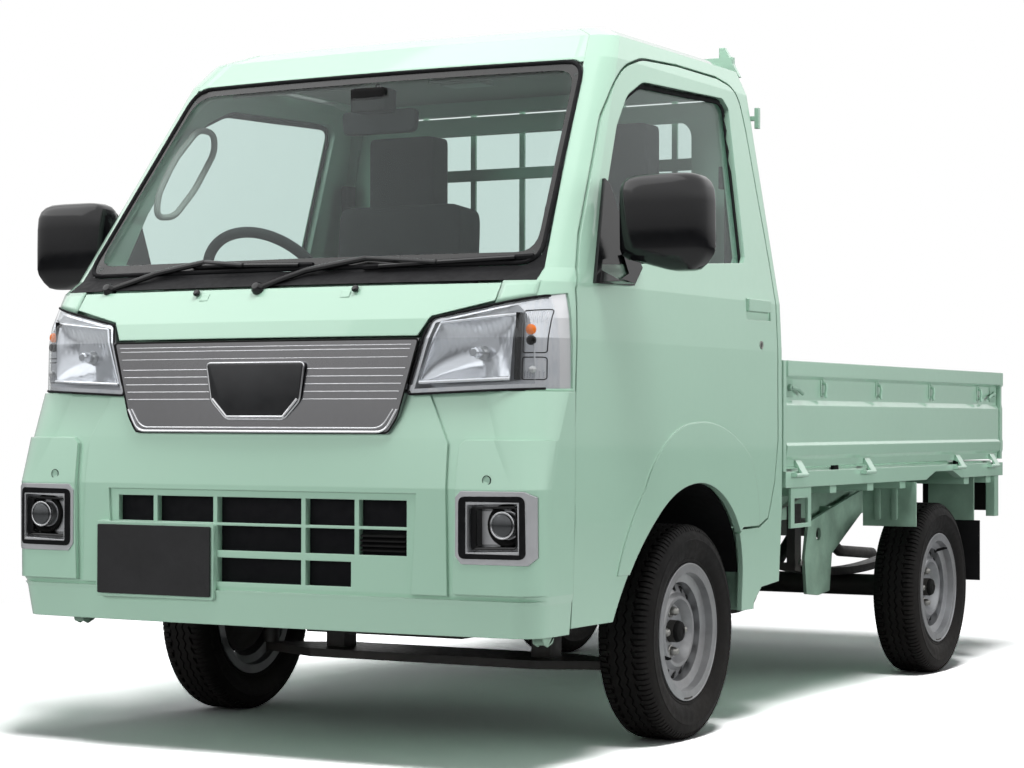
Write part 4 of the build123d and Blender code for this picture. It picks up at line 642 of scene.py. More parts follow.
class DressNodes(bpy.types.Operator):
    """Makes the finishes and gives each solid node its own"""
    bl_idname = "truck.dress_nodes"
    bl_label = "Dress the solids"

    def execute(self, context):
        values = context.scene.truck_finish
        colour = tuple(values.paint)
        FINISHES.update({
            "paint": make_paint("Mint paint", colour),
            "satin_paint": make_plain("Satin mint paint", tuple(0.8 * part for part in colour), roughness=0.5,
                                      edge=0.003, dust=0.5),
            "satin_black": make_plain("Satin black", (0.02, 0.02, 0.022), roughness=0.45, grain=0.0004,
                                      grain_scale=300.0, dust=0.5),
            "casting": make_plain("Raw casting", (0.05, 0.05, 0.05), roughness=0.6, metallic=0.5,
                                  grain=0.0008, grain_scale=500.0, dust=0.5),
            "wheel_silver": make_steel("Wheel silver", (0.34, 0.35, 0.365)),
            "tyre_rubber": make_plain("Tyre rubber", (0.007, 0.007, 0.0075), roughness=0.62, grain=0.0003,
                                      dust=0.12),
            "rubber": make_plain("Matt rubber", (0.012, 0.012, 0.013), roughness=0.7, grain=0.0003),
            "gloss_black": make_plain("Gloss black", (0.006, 0.006, 0.007), roughness=0.14, spread=0.03,
                                      edge=0.003),
            "flat_black": make_plain("Flat black", (0.008, 0.008, 0.008), roughness=0.6),
            "frit": make_plain("Baked black border", (0.004, 0.004, 0.004), roughness=0.25, spread=0.03),
            "plate_grey": make_plain("Dark blank plate", (0.009, 0.009, 0.010), roughness=0.5, edge=0.002),
            "cowl_plastic": make_plain("Grained black plastic", (0.014, 0.014, 0.015), roughness=0.55,
                                       grain=0.0004),
            "dash_plastic": make_plain("Grained dark plastic", (0.028, 0.029, 0.031), roughness=0.6,
                                       grain=0.0004),
            "pale_plastic": make_plain("Grained pale plastic", (0.42, 0.42, 0.40), roughness=0.65,
                                       grain=0.0004, shade=0.92),
            "headliner": make_cloth("Headliner cloth", (0.45, 0.44, 0.42), thread=260.0),
            "chrome": make_plain("Bright plating", (0.80, 0.81, 0.83), roughness=0.07, metallic=1.0,
                                 spread=0.03, edge=0.002, shade=0.95),
            "satin_chrome": make_plain("Satin plating", (0.62, 0.63, 0.65), roughness=0.2, metallic=0.5,
                                       spread=0.03, edge=0.002, shade=0.95),
            "zinc": make_plain("Zinc plating", (0.42, 0.42, 0.40), roughness=0.35, metallic=0.9, grain=0.0003,
                               edge=0.001, dust=0.3),
            "smoked_chrome": make_plain("Smoked plating", (0.36, 0.36, 0.37), roughness=0.17, metallic=1.0,
                                        spread=0.01, shade=0.98),
            "dark_plate": make_plain("Dark centre plate", (0.035, 0.036, 0.038), roughness=0.22, metallic=0.3,
                                     spread=0.04, edge=0.003),
            "lamp_body": make_plain("Silvered lamp body", (0.72, 0.73, 0.75), roughness=0.14, metallic=0.65,
                                    spread=0.04, shade=0.95),
            "mirror_face": make_plain("Mirror silver", (0.85, 0.86, 0.88), roughness=0.01, metallic=1.0,
                                      spread=0.008, shade=0.99),
            "fog_glass": make_plain("Dark fog lamp lens", (0.10, 0.105, 0.11), roughness=0.1, metallic=0.6,
                                    spread=0.03),
            "red_lens": make_plain("Red lens", (0.45, 0.01, 0.01), roughness=0.12, spread=0.03, edge=0.002),
            "amber_lens": make_plain("Amber lens", (0.75, 0.20, 0.01), roughness=0.12, spread=0.03,
                                     edge=0.001),
            "amber_bulb": make_plain("Amber bulb", (0.95, 0.22, 0.02), roughness=0.2, spread=0.03),
            "bulb_glass": make_plain("Clear bulb", (0.75, 0.76, 0.75), roughness=0.05, metallic=0.6,
                                     spread=0.03),
            "white_plastic": make_plain("White plastic", (0.62, 0.62, 0.60), roughness=0.4, shade=0.95),
            "seat_cloth": make_cloth("Woven cloth", (0.028, 0.028, 0.031), thread=420.0),
            "belt_web": make_cloth("Belt webbing", (0.02, 0.02, 0.022), thread=600.0),
            "hole_mesh": make_mesh("Pierced black sheet", (0.004, 0.004, 0.005), pitch=0.009),
            "glass": make_glass("Window glass", (0.85, 0.905, 0.89), share=0.012),
            "lens": make_glass("Clear lens", (0.96, 0.97, 0.98), share=0.035),
        })
        for name, nodes in NODE_FINISHES.items():
            for node in nodes:
                materials = NODES[node].data.materials
                materials.clear()
                materials.append(finish(name))
        return {"FINISHED"}


# Wheels


def wheels():
    for name, (across, along) in WHEELS.items():
        yield name, 1.0 if across > 0.0 else -1.0, Vector((across, along, AXLE_LEVEL))


class AddTyres(bpy.types.Operator):
    """Makes the four tyres with grooved zigzag tread"""
    bl_idname = "truck.add_tyres"
    bl_label = "Tyres"

    def execute(self, context):
        sizes = context.scene.truck_sizes
        crown = TYRE_CROWN
        floor = crown - sizes.tread_depth
        pitch = 2.0 * math.pi * crown / sizes.tread_pitches
        side = [(0.0530, 0.1525), (0.0532, 0.1690), (0.0565, 0.1720), (0.0590, 0.1760), (0.0598, 0.1790),
                (0.0590, 0.1815), (0.0645, 0.1890), (0.0695, 0.2010), (0.0718, 0.2140), (0.0720, 0.2260),
                (0.0727, 0.2275), (0.0727, 0.2300), (0.0712, 0.2315), (0.0695, 0.2400), (0.0655, 0.2495),
                (0.0610, 0.2550), (0.0540, 0.2590), (0.0460, floor), (0.0200, floor)]
        profile = side + [(-along, radius) for along, radius in reversed(side)]
        half = 0.5 * pitch

        def drop(place):
            return math.sqrt(crown * crown - place * place) - crown

        unit = Shape()
        zigzag = 0.0032
        for low, high in ((-0.0085, 0.0085), (0.0130, 0.0300), (-0.0300, -0.0130)):
            places, faces = [], []
            rows = (-half, -0.12 * half, 0.12 * half, half)
            for number, along in enumerate(rows):
                shift = zigzag if number in (1, 2) else -zigzag
                for level in (-0.004 - sizes.tread_depth, drop(along)):
                    places += [(low + shift, along, level), (high + shift, along, level)]
            for number in range(len(rows) - 1):
                here, there = 4 * number, 4 * number + 4
                faces += [(here + 2, here + 3, there + 3, there + 2), (here, here + 2, there + 2, there),
                          (here + 1, there + 1, there + 3, here + 3)]
            unit.add(places, faces)
        gap = 0.0022
        for sign in (1.0, -1.0):
            for low, high in ((-half + gap, -gap), (gap, half - gap)):
                outline = [(0.0350, -0.012), (0.0350, 0.0), (0.0480, 0.0), (0.0560, -0.0035),
                           (0.0625, -0.0100), (0.0655, -0.0160), (0.0560, -0.016)]
                shift = zigzag if low > 0.0 else -zigzag
                places = []
                for along in (low, high):
                    places += [(sign * across + (shift if across < 0.04 else 0.0), along,
                                level + drop(along)) for across, level in outline]
                count = len(outline)
                faces = [tuple(range(count)), tuple(reversed(range(count, 2 * count)))]
                unit.add(places, faces + around(count, 1))
        tread = ring_of(unit, count=sizes.tread_pitches, radius=crown, material="tyre_rubber")
        for name, outward, centre in wheels():
            tyre = Shape()
            tyre.lathe([(outward * along, radius) for along, radius in profile], centre, steps=RIM_STEPS)
            tyre.mesh_of(tread, centre)
            node = name.replace("wheel", "tyre")
            tyre.finish(f"tread_{name}", "tyre_rubber", name, replaces=(node,), sharp=28.0)
        bpy.data.objects.remove(tread)
        return {"FINISHED"}


class AddWheelDetails(bpy.types.Operator):
    """Adds the wheels' nuts, black discs of painted shade in the vents, hub caps, rolled edges, valves and
    balance weights
    """
    bl_idname = "truck.add_wheel_details"
    bl_label = "Wheel details"

    def execute(self, context):
        for name, outward, centre in wheels():
            axis = (outward, 0.0, 0.0)

            def outside(distance, start=centre, outward=outward):
                return start + Vector((outward * distance, 0.0, 0.0))

            nut = Shape()
            nut.lathe([(0.0, 0.0), (0.0, 0.0165), (0.002, 0.0165), (0.002, 0.0)], (0.0, 0.0, 0.0), axis,
                      steps=18)
            nut.lathe([(0.002, 0.0), (0.002, 0.0118), (0.013, 0.0118), (0.0155, 0.0095), (0.019, 0.0085),
                       (0.021, 0.006), (0.022, 0.0)], (0.0, 0.0, 0.0), axis, steps=6)
            ring = ring_of(nut, count=NUT_COUNT, radius=NUT_CIRCLE, material="zinc")
            shape = Shape()
            use_up(ring, shape, outside(NUT_SEAT))
            shape.finish(f"nuts_{name}", "zinc", name, bevel=0.0006, segments=1)

            # Black discs in the vent holes: painted shade, standing for the dark seen through the vents
            hole_and_shade = Shape()
            hole_and_shade.disc(radius=0.0096, thickness=0.002, centre=(0.0, 0.0, 0.0), axis=axis, steps=14)
            ring = ring_of(hole_and_shade, count=VENT_COUNT, radius=VENT_CIRCLE, material="flat_black")
            shape = Shape()
            use_up(ring, shape, outside(VENT_FACE))
            shape.finish(f"vents_{name}", "flat_black", name)

            cap = Shape()
            cap.lathe([(0.0, 0.0), (0.0, 0.0268), (0.004, 0.0268), (0.010, 0.0235), (0.013, 0.017),
                       (0.0135, 0.010), (0.012, 0.0085), (0.012, 0.0)], outside(0.029),
                      axis, steps=32)
            cap.finish(f"cap_{name}", "flat_black", name)

            edge = Shape()
            for along, radius, thick in ((0.0585, 0.1692, 0.0026), (0.0552, 0.1560, 0.0016)):
                turns = [2.0 * math.pi * step / RIM_STEPS for step in range(RIM_STEPS)]
                edge.tube([centre + Vector((outward * along, radius * math.cos(turn),
                                            radius * math.sin(turn)))
                           for turn in turns], radius=thick, sides=6, closed=True)
            edge.finish(f"edge_{name}", "wheel_silver", name)

            valve = Shape()
            turn = math.radians(205.0 if "front" in name else 65.0)
            out = Vector((0.0, math.cos(turn), math.sin(turn)))
            foot = outside(0.030) + 0.124 * out
            valve.tube([foot, outside(0.012, foot) + 0.004 * out,
                        outside(0.030, foot) + 0.010 * out], radius=0.0045, sides=10)
            valve.disc(radius=0.0032, thickness=0.008, centre=outside(0.030, foot) + 0.010 * out, axis=axis,
                       steps=10, rim=0.001)
            valve.disc(radius=0.0085, thickness=0.003, centre=outside(-0.001, foot), axis=axis, steps=14,
                       rim=0.001)
            valve.finish(f"valve_{name}", "rubber", name)

            weight = Shape()
            arc = [math.radians(262.0 + 2.0 * step) for step in range(9)]
            weight.tube([centre + Vector((outward * 0.0565, 0.1655 * math.cos(turn), 0.1655 * math.sin(turn)))
                         for turn in arc], radius=0.0038, sides=8)
            weight.finish(f"balance_{name}", "casting", name)
        return {"FINISHED"}


# Front


def across_edge(outline, level):
    """The furthest place across that a closed outline reaches at a level."""
    reach = 0.0
    for first, last in zip(outline, outline[1:] + outline[:1]):
        if min(first[1], last[1]) <= level <= max(first[1], last[1]) and first[1] != last[1]:
            share = (level - first[1]) / (last[1] - first[1])
            reach = max(reach, first[0] + share * (last[0] - first[0]))
    return reach


GRILLE_OUTLINE = [(-0.430, 0.978), (-0.380, 0.800), (-0.355, 0.762), (0.355, 0.762), (0.380, 0.800),
                  (0.430, 0.978)]
BADGE_OUTLINE = [(-0.1355, 0.9245), (0.1355, 0.9245), (0.1225, 0.838), (0.0805, 0.796), (-0.0805, 0.796),
                 (-0.1225, 0.838)]


class AddGrille(bpy.types.Operator):
    """Adds the bright lines, the lower lip and the blank centre plate to the grille"""
    bl_idname = "truck.add_grille"
    bl_label = "Grille"

    def execute(self, context):
        sizes = context.scene.truck_sizes
        skin = Skin("grille")
        lines = Shape()
        for number in range(sizes.line_count):
            level = 0.911 - 0.0175 * number
            edge = across_edge(GRILLE_OUTLINE, level) - 0.014
            start = across_edge(BADGE_OUTLINE, level) + 0.008
            for sign in (1.0, -1.0):
                lines.tube([skin.front(sign * (start + (edge - start) * step / 12), level, lift=0.0016)
                            for step in range(13)], radius=0.5 * sizes.line_height, sides=8)
        for level, thick in ((0.9640, 0.0013), (0.9545, 0.0013), (0.9360, 0.0010)):
            edge = across_edge(GRILLE_OUTLINE, level) - 0.016
            lines.tube([skin.front(edge * (step / 12 - 1), level, lift=0.0006) for step in range(25)],
                       radius=thick, sides=6)
        lines.finish("grille_lines", "chrome", "truck")

        lip = Shape()
        for shift, thick in ((0.004, 0.0034), (0.013, 0.0018)):
            path = rounded([(-0.393 + shift, 0.836), (-0.352 + shift, 0.762 + shift),
                            (0.352 - shift, 0.762 + shift), (0.393 - shift, 0.836)], radius=0.022)
            path = path[5:-5]
            lip.tube([skin.front(across, level, lift=0.001) for across, level in walk(path, spacing=0.02)],
                     radius=thick, sides=8)
        lip.finish("grille_lip", "chrome", "truck")

        front = skin.front(0.0, 0.86).y
        plate = Shape()
        outline = rounded(BADGE_OUTLINE, radius=0.010)
        plate.prism(outline, "y", start=front - 0.0065, end=front + 0.006)
        plate.finish("grille_centre", "dark_plate", "truck", bevel=0.003, segments=3)
        rim = Shape()
        rim.tube([(across, front - 0.0045, level) for across, level in inset(outline, distance=-0.0015)],
                 radius=0.0022, sides=8, closed=True)
        rim.tube([(across, front - 0.006, level) for across, level in
                  ((-0.119, 0.842), (-0.0790, 0.8005), (0.0790, 0.8005), (0.119, 0.842))], radius=0.0032,
                 sides=8)
        rim.finish("grille_centre_edge", "chrome", "truck")

        seam = Shape()
        outline = inset(rounded(GRILLE_OUTLINE, radius=0.012), distance=0.0015)
        seam.tube([skin.front(across, level, lift=0.0002) for across,
                   level in walk(outline, spacing=0.02, closed=True)],
                  radius=0.0022, sides=6, closed=True)
        seam.finish("grille_edge", "flat_black", "truck")
        return {"FINISHED"}


LENS_OUTLINE = [(0.449, 1.023), (0.398, 0.851), (0.705, 0.864), (0.705, 1.0755)]


class AddHeadlamps(bpy.types.Operator):
    """Adds the headlamps' bowls, bulbs, indicators and gaskets, and the panels beside the hood"""
    bl_idname = "truck.add_headlamps"
    bl_label = "Headlamps"

    def execute(self, context):
        skin = Skin("headlamp_lenses")

        def front(across, level):
            return skin.front(min(across, 0.700), level).y

        bowl = Shape()
        columns, rows = 66, 26
        outline = [(0.470, 1.012), (0.424, 0.878), (0.640, 0.886), (0.648, 1.030)]
        grid = []
        for row in range(rows + 1):
            up = row / rows
            for column in range(columns + 1):
                along = column / columns
                low = blended(outline[1], outline[2], along)
                high = blended(outline[0], outline[3], along)
                across, level = blended(low, high, up)
                curve = (1.0 - abs(2.0 * along - 1.0) ** 2.6) * (1.0 - abs(2.0 * up - 1.0) ** 2.2)
                depth = 0.052 * curve ** 0.8
                if up > 0.52 and curve > 0.08:
                    depth += 0.0011 * math.sin(2.0 * math.pi * across / 0.0125)
                grid.append((across, front(across, level) + 0.010 + depth, level))
        bowl.sheet(grid, columns + 1)
        bowl.mirror().finish("headlamp_bowls", "lamp_body", "truck", sharp=60.0)

        frame_part = Shape()
        for low, high, thick in (((0.424, 0.878), (0.470, 1.012), 0.004),
                                 ((0.424, 0.878), (0.640, 0.886), 0.005),
                                 ((0.470, 1.012), (0.648, 1.030), 0.004)):
            frame_part.tube([(across, front(across, level) + 0.0085, level)
                             for across, level in walk([low, high], spacing=0.02)], radius=thick, sides=8)
        frame_part.mirror().finish("headlamp_bowl_edges", "chrome", "truck")

        divider = Shape()
        outline = [(0.643, 0.884), (0.648, 0.884), (0.655, 1.034), (0.649, 1.034)]
        depth = front(0.66, 0.96)
        divider.prism(outline, "y", start=depth + 0.0075, end=depth + 0.055)
        divider.mirror().finish("headlamp_dividers", "flat_black", "truck", bevel=0.001)

        bulb = Shape()
        place = Vector((0.553, front(0.553, 0.945) + 0.058, 0.945))
        bulb.lathe([(0.0, 0.0), (0.0, 0.017), (0.006, 0.015), (0.010, 0.0105), (0.030, 0.0098),
                    (0.036, 0.0065), (0.038, 0.0)], place, FORWARDS, steps=24)
        bulb.mirror().finish("headlamp_bulbs", "bulb_glass", "truck")
        shade = Shape()
        shade.lathe([(0.024, 0.0), (0.024, 0.0125), (0.040, 0.0125), (0.044, 0.009), (0.044, 0.0)], place,
                    FORWARDS, steps=24)
        shade.mirror().finish("headlamp_bulb_shades", "chrome", "truck")

        body = Skin("headlamp_housings")

        def peg(shape, across, level, radius, reach):
            base = body.front(across, level).y
            length = max(0.004, min(reach, base - front(across, level) - 0.004))
            shape.lathe([(-0.003, 0.0), (-0.003, radius), (0.4 * length, radius),
                         (0.8 * length, 0.7 * radius), (length, 0.0)], (across, base, level), FORWARDS,
                        steps=20)

        amber = Shape()
        peg(amber, 0.676, 0.996, radius=0.012, reach=0.030)
        amber.mirror().finish("indicator_bulbs", "amber_bulb", "truck")
        holder = Shape()
        peg(holder, 0.677, 0.972, radius=0.011, reach=0.016)
        holder.mirror().finish("indicator_holders", "flat_black", "truck")
        ribs = Shape()
        for number in range(7):
            across = 0.661 + 0.0065 * number
            for levels in ((1.012, 1.020, 1.028, 1.036), (0.888, 0.896, 0.904)):
                ribs.tube([body.front(across, level, lift=0.0012) for level in levels], radius=0.0011,
                          sides=6)
        ribs.mirror().finish("indicator_ribs", "chrome", "truck")
        border = Shape()
        for outline in ([(0.656, 0.944), (0.704, 0.944), (0.707, 1.042), (0.660, 1.038)],
                        [(0.654, 0.884), (0.704, 0.884), (0.704, 0.934), (0.655, 0.934)]):
            border.tube([body.front(*point, 0.0008)
                         for point in walk(rounded(outline, radius=0.006), spacing=0.01, closed=True)],
                        radius=0.0013, sides=6, closed=True)
        border.mirror().finish("indicator_borders", "flat_black", "truck")

        park = Shape()
        peg(park, 0.680, 0.906, radius=0.009, reach=0.014)
        park.mirror().finish("park_bulbs", "bulb_glass", "truck")

        corner = Shape()
        columns = [(0.5925, -1.5675), (0.606, -1.5665), (0.618, -1.5645), (0.630, -1.5620), (0.642, -1.5590),
                   (0.654, -1.5545), (0.666, -1.5480), (0.6765, -1.5405)]
        rows = 4
        grid = []
        for across, along in columns:
            low = 1.0255 + 0.209 * (across - 0.449)
            for row in range(rows + 1):
                level = 1.1085 + (low - 1.1085) * row / rows
                grid.append((across, along - 0.70 * (1.1085 - level), level))
        corner.sheet(grid, rows + 1)
        bmesh.ops.recalc_face_normals(corner.bm, faces=corner.bm.faces)
        corner.mirror().finish("hood_corner_panels", "paint", "truck", thickness=0.002, sharp=50.0)

        gasket = Shape()
        path = [LENS_OUTLINE[3], LENS_OUTLINE[0], LENS_OUTLINE[1], LENS_OUTLINE[2]]
        path = [path[0]] + rounded(path, radius=0.012)[6:-6] + [path[3]]
        gasket.tube([skin.front(across, level, lift=0.0002) for across, level in walk(path, spacing=0.015)],
                    radius=0.0028, sides=8)
        gasket.mirror().finish("headlamp_gaskets", "rubber", "truck")
        return {"FINISHED"}


SENSOR_PLACES = (0.612, -0.599)
SENSOR_LEVEL = 0.660
FOG_PLACE = 0.648
FOG_LEVEL = 0.561


class AddBumperDetails(bpy.types.Operator):
    """Fills the bumper's openings and adds its sensors, fog lamps and tow brackets"""
    bl_idname = "truck.add_bumper_details"
    bl_label = "Bumper details"

    def execute(self, context):
        backing = Shape()
        backing.box((-0.424, -1.6600, 0.395), (0.424, -1.6560, 0.628))
        backing.finish("intake_backing", "hole_mesh", "truck", bevel=0.001)

        slats = Shape()
        for level in (0.497, 0.508, 0.519, 0.530):
            outline = [(-1.676, level - 0.002), (-1.662, level + 0.003), (-1.662, level + 0.006),
                       (-1.676, level + 0.001)]
            slats.prism(outline, "x", start=0.283, end=0.402)
        slats.finish("intake_slats", "flat_black", "truck")

        skin = Skin("front_bumper")
        sensors = Shape()
        for across in SENSOR_PLACES:
            place = skin.front(across, SENSOR_LEVEL)
            sensors.lathe([(-0.003, 0.0), (-0.003, 0.0098), (0.0012, 0.0094), (0.0012, 0.0080),
                           (0.0004, 0.0078), (0.0008, 0.0)], place, FORWARDS, steps=28)
        sensors.finish("bumper_sensors", "satin_paint", "truck")
        rings = Shape()
        for across in SENSOR_PLACES:
            place = skin.front(across, SENSOR_LEVEL, lift=0.0004)
            rings.tube([place + Vector((0.0105 * math.cos(turn), 0.0, 0.0105 * math.sin(turn)))
                        for turn in (math.pi * step / 14 for step in range(28))], radius=0.0009, sides=6,
                       closed=True)
        rings.finish("bumper_sensor_rings", "flat_black", "truck")

        fog = Skin("fog_lamps")
        wells = Shape()
        outline = rounded([(0.570, 0.504), (0.570, 0.603), (0.686, 0.606), (0.688, 0.507)], radius=0.010)
        wells.prism(outline, "y", start=-1.6405, end=-1.6385)
        wells.mirror().finish("fog_wells", "gloss_black", "truck")
        walls = Shape()
        outer = inset(outline, distance=0.0012)
        inner = inset(outline, distance=0.012)
        places = [(across, -1.676, level) for across, level in outer]
        places += [(across, -1.642, level) for across, level in inner]
        walls.add(places, around(len(outline), 1))
        walls.mirror().finish("fog_well_walls", "gloss_black", "truck", thickness=0.001)
        face = Shape()
        low = walk(rounded([(0.545, 0.486), (0.545, 0.624), (0.706, 0.626), (0.708, 0.487)], radius=0.016),
                   spacing=0.02, closed=True)
        high = [(min(max(across, 0.5630), 0.6945), min(max(level, 0.4975), 0.6125)) for across, level in low]
        laid(fog.front, low, high, face, lift=0.0012)
        face.mirror().finish("fog_faces", "gloss_black", "truck", sharp=60.0)
        middle = Vector((FOG_PLACE, -1.6420, FOG_LEVEL))
        bowls = Shape()
        bowls.lathe([(0.0, 0.031), (0.0, 0.047), (0.010, 0.047), (0.012, 0.044), (0.004, 0.034)], middle,
                    FORWARDS, steps=48)
        bowls.mirror().finish("fog_bowls", "flat_black", "truck")
        eye = fog.front(FOG_PLACE, FOG_LEVEL).y
        lamps = Shape()
        lamps.lathe([(0.0, 0.0), (0.0, 0.0255), (0.003, 0.0245), (0.0065, 0.016), (0.008, 0.0)],
                    (FOG_PLACE, eye - 0.001, FOG_LEVEL), FORWARDS, steps=40)
        lamps.mirror().finish("fog_lenses", "fog_glass", "truck")
        hoops = Shape()
        hoops.lathe([(-0.002, 0.0260), (-0.002, 0.0310), (0.004, 0.0310), (0.004, 0.0272)],
                    (FOG_PLACE, eye, FOG_LEVEL), FORWARDS, steps=40)
        hoops.mirror().finish("fog_hoops", "chrome", "truck", bevel=0.0008)

        hooks = Shape()
        for across in (0.697, -0.592):
            for shift in (-0.012, 0.012):
                outline = [(-1.600, 0.318), (-1.530, 0.318), (-1.530, 0.330), (-1.548, 0.296),
                           (-1.572, 0.288), (-1.592, 0.296)]
                hooks.prism(outline, "x", start=across + shift - 0.002, end=across + shift + 0.002)
            hooks.box((across - 0.012, -1.592, 0.294), (across + 0.012, -1.588, 0.312))
        hooks.finish("tow_brackets", "satin_paint", "truck", bevel=0.001)
        return {"FINISHED"}


# Glazing, wipers and mirrors


def laid(skin_call, outline, inner, shape, lift):
    """A closed band between two outlines, laid on a skin."""
    outer_row = [skin_call(*point, lift) for point in outline]
    inner_row = [skin_call(*point, lift) for point in inner]
    shape.strip(outer_row + outer_row[:1], inner_row + inner_row[:1])


WINDOW_OUTLINE = [(-1.320, 1.172), (-1.240, 1.330), (-1.127, 1.500), (-1.040, 1.585), (-0.936, 1.630),
                  (-0.447, 1.646), (-0.416, 1.622), (-0.464, 1.222), (-0.470, 1.172)]


class AddGlazing(bpy.types.Operator):
    """Adds the black borders and rubbers of the windows"""
    bl_idname = "truck.add_glazing"
    bl_label = "Window borders and rubbers"

    def execute(self, context):
        sizes = context.scene.truck_sizes
        skin = Skin("windscreen")
        outline = rounded([(-0.647, 1.152), (0.647, 1.152), (0.572, 1.662), (-0.572, 1.662)], radius=0.050)
        outline = walk(outline, spacing=0.04, closed=True)
        inner = rounded([(-0.628, 1.178), (0.628, 1.178), (0.557, 1.640), (-0.557, 1.640)], radius=0.050)
        inner = walk(inner, spacing=0.04, closed=True)
        step = len(inner) / len(outline)
        matched = [inner[min(len(inner) - 1, round(number * step))] for number in range(len(outline))]
        border = Shape()
        laid(skin.front, outline, matched, border, lift=0.0008)
        border.finish("windscreen_border", "frit", "truck", sharp=60.0)
        rubber = Shape()
        rubber.tube([skin.front(*point, 0.001) for point in outline], radius=0.0055, sides=8, closed=True)
        rubber.finish("windscreen_rubber", "rubber", "truck")

        for side, sign in SIDES:
            glass = Skin(f"door_glass_{side}")

            def place(along, level, lift, skin=glass, sign=sign):
                return skin.side(sign, along, level, lift=lift)

            outline = walk(rounded(WINDOW_OUTLINE, radius=0.030), spacing=0.03, closed=True)
            inner = inset(outline, distance=sizes.rubber_width)
            band = Shape()
            laid(place, outline, inner, band, lift=0.004)
            band.finish(f"door_window_rubber_{side}", "rubber", f"door_{side}", thickness=0.003, sharp=60.0)
        return {"FINISHED"}


class AddWipers(bpy.types.Operator):
    """Adds the two wipers and the washer nozzles"""
    bl_idname = "truck.add_wipers"
    bl_label = "Wipers"

    def execute(self, context):
        skin = Skin("windscreen", "cowl", "hood")
        arms, blades = Shape(), Shape()
        for pivot, elbow, tip, start, end in (
                ((-0.520, 1.112), (-0.400, 1.152), (-0.262, 1.176), (-0.300, 1.168), (0.060, 1.160)),
                ((-0.050, 1.104), (0.052, 1.146), (0.205, 1.172), (0.205, 1.150), (0.630, 1.166))):
            root = skin.front(*pivot, 0.006)
            arms.lathe([(-0.010, 0.0), (-0.010, 0.017), (0.006, 0.015), (0.014, 0.009), (0.016, 0.0)], root,
                       (0.0, -0.85, 0.5), steps=24)
            joints = [root, skin.front(*blended(pivot, elbow, 0.5), 0.014), skin.front(*elbow, 0.016),
                      skin.front(*blended(elbow, tip, 0.5), 0.017), skin.front(*tip, 0.015)]
            arms.tube(joints, radius=0.0075, sides=8)
            saddle = blended(start, end, 0.45)
            arms.tube([skin.front(*tip, 0.015), skin.front(*blended(tip, saddle, 0.5), 0.018),
                       skin.front(*saddle, 0.016)], radius=0.0065, sides=8)
            arms.tube([skin.front(*blended(start, end, share), 0.013) for share in (0.1, 0.3, 0.5, 0.7, 0.9)],
                      radius=0.0055, sides=6)
            blades.tube([skin.front(*blended(start, end, step / 16), 0.006) for step in range(17)],
                        radius=0.0070, sides=6)
        arms.finish("wiper_arms", "gloss_black", "truck")
        blades.finish("wiper_blades", "rubber", "truck")

        nozzles = Shape()
        hood = Skin("cowl", "hood")
        for across in (-0.225, 0.225):
            nozzles.disc(radius=0.009, thickness=0.010, centre=hood.front(across, 1.094, lift=0.002),
                         axis=(0.0, -0.8, 0.6), steps=16, rim=0.003)
        nozzles.finish("washer_nozzles", "gloss_black", "hood")
        return {"FINISHED"}


# Columns: level, half width, half depth, middle across
MIRROR_ROWS = [(1.1372, 0.0, 0.0, 0.905), (1.1374, 0.022, 0.016, 0.905), (1.141, 0.038, 0.030, 0.902),
               (1.155, 0.072, 0.040, 0.884), (1.166, 0.098, 0.047, 0.866), (1.176, 0.108, 0.053, 0.8615),
               (1.190, 0.1115, 0.057, 0.861), (1.240, 0.1115, 0.0585, 0.8605), (1.295, 0.1115, 0.0585, 0.860),
               (1.325, 0.110, 0.057, 0.859), (1.342, 0.104, 0.053, 0.858), (1.353, 0.094, 0.045, 0.857),
               (1.360, 0.078, 0.033, 0.8565), (1.3625, 0.055, 0.018, 0.8565), (1.363, 0.0, 0.0, 0.8565)]


def mirror_head(shape, sign, steps=48):
    """The rounded housing: stacked outlines that are squarish in the middle."""
    places = []
    for level, wide, deep, middle in MIRROR_ROWS:
        for step in range(steps):
            turn = 2.0 * math.pi * step / steps
            first, second = math.cos(turn), math.sin(turn)
            places.append((sign * (middle + wide * math.copysign(abs(first) ** 0.5, first)),
                           -1.270 + deep * math.copysign(abs(second) ** 0.6, second), level))
    shape.add(places, around(steps, len(MIRROR_ROWS) - 1))


class AddMirrors(bpy.types.Operator):
    """Makes the mirrors' rounded housings and adds their glass and surrounds"""
    bl_idname = "truck.add_mirrors"
    bl_label = "Door mirrors"

    def execute(self, context):
        for side, sign in SIDES:
            body = f"door_{side}"
            node = NODES[f"door_mirror_{side}"].data
            housing = Shape()
            mirror_head(housing, sign)
            arm = [face for face in node.polygons
                   if not any(node.vertices[number].co.z > 1.130 and abs(node.vertices[number].co.x) > 0.742
                              for number in face.vertices)]
            housing.add([vert.co for vert in node.vertices], [tuple(face.vertices) for face in arm])
            loose = [vert for vert in housing.bm.verts if not vert.link_faces]
            bmesh.ops.delete(housing.bm, geom=loose, context="VERTS")
            housing.finish(f"mirror_housing_{side}", "gloss_black", body, replaces=(f"door_mirror_{side}",),
                           sharp=50.0)
            outline = rounded([(sign * 0.765, 1.186), (sign * 0.957, 1.186), (sign * 0.951, 1.346),
                               (sign * 0.771, 1.346)], radius=0.026)
            surround = Shape()
            inner = inset(outline, distance=0.009)
            places = [(across, along, level) for row, along in
                      ((outline, -1.216), (outline, -1.209), (inner, -1.209), (inner, -1.216))
                      for across, level in row]
            surround.add(places, around(len(outline), 3, closed=True))
            surround.finish(f"mirror_surround_{side}", "flat_black", body)
            glass = Shape()
            glass.prism(inner, "y", start=-1.216, end=-1.2115)
            glass.finish(f"mirror_glass_{side}", "mirror_face", body, bevel=0.0008)
        return {"FINISHED"}


# Cabin


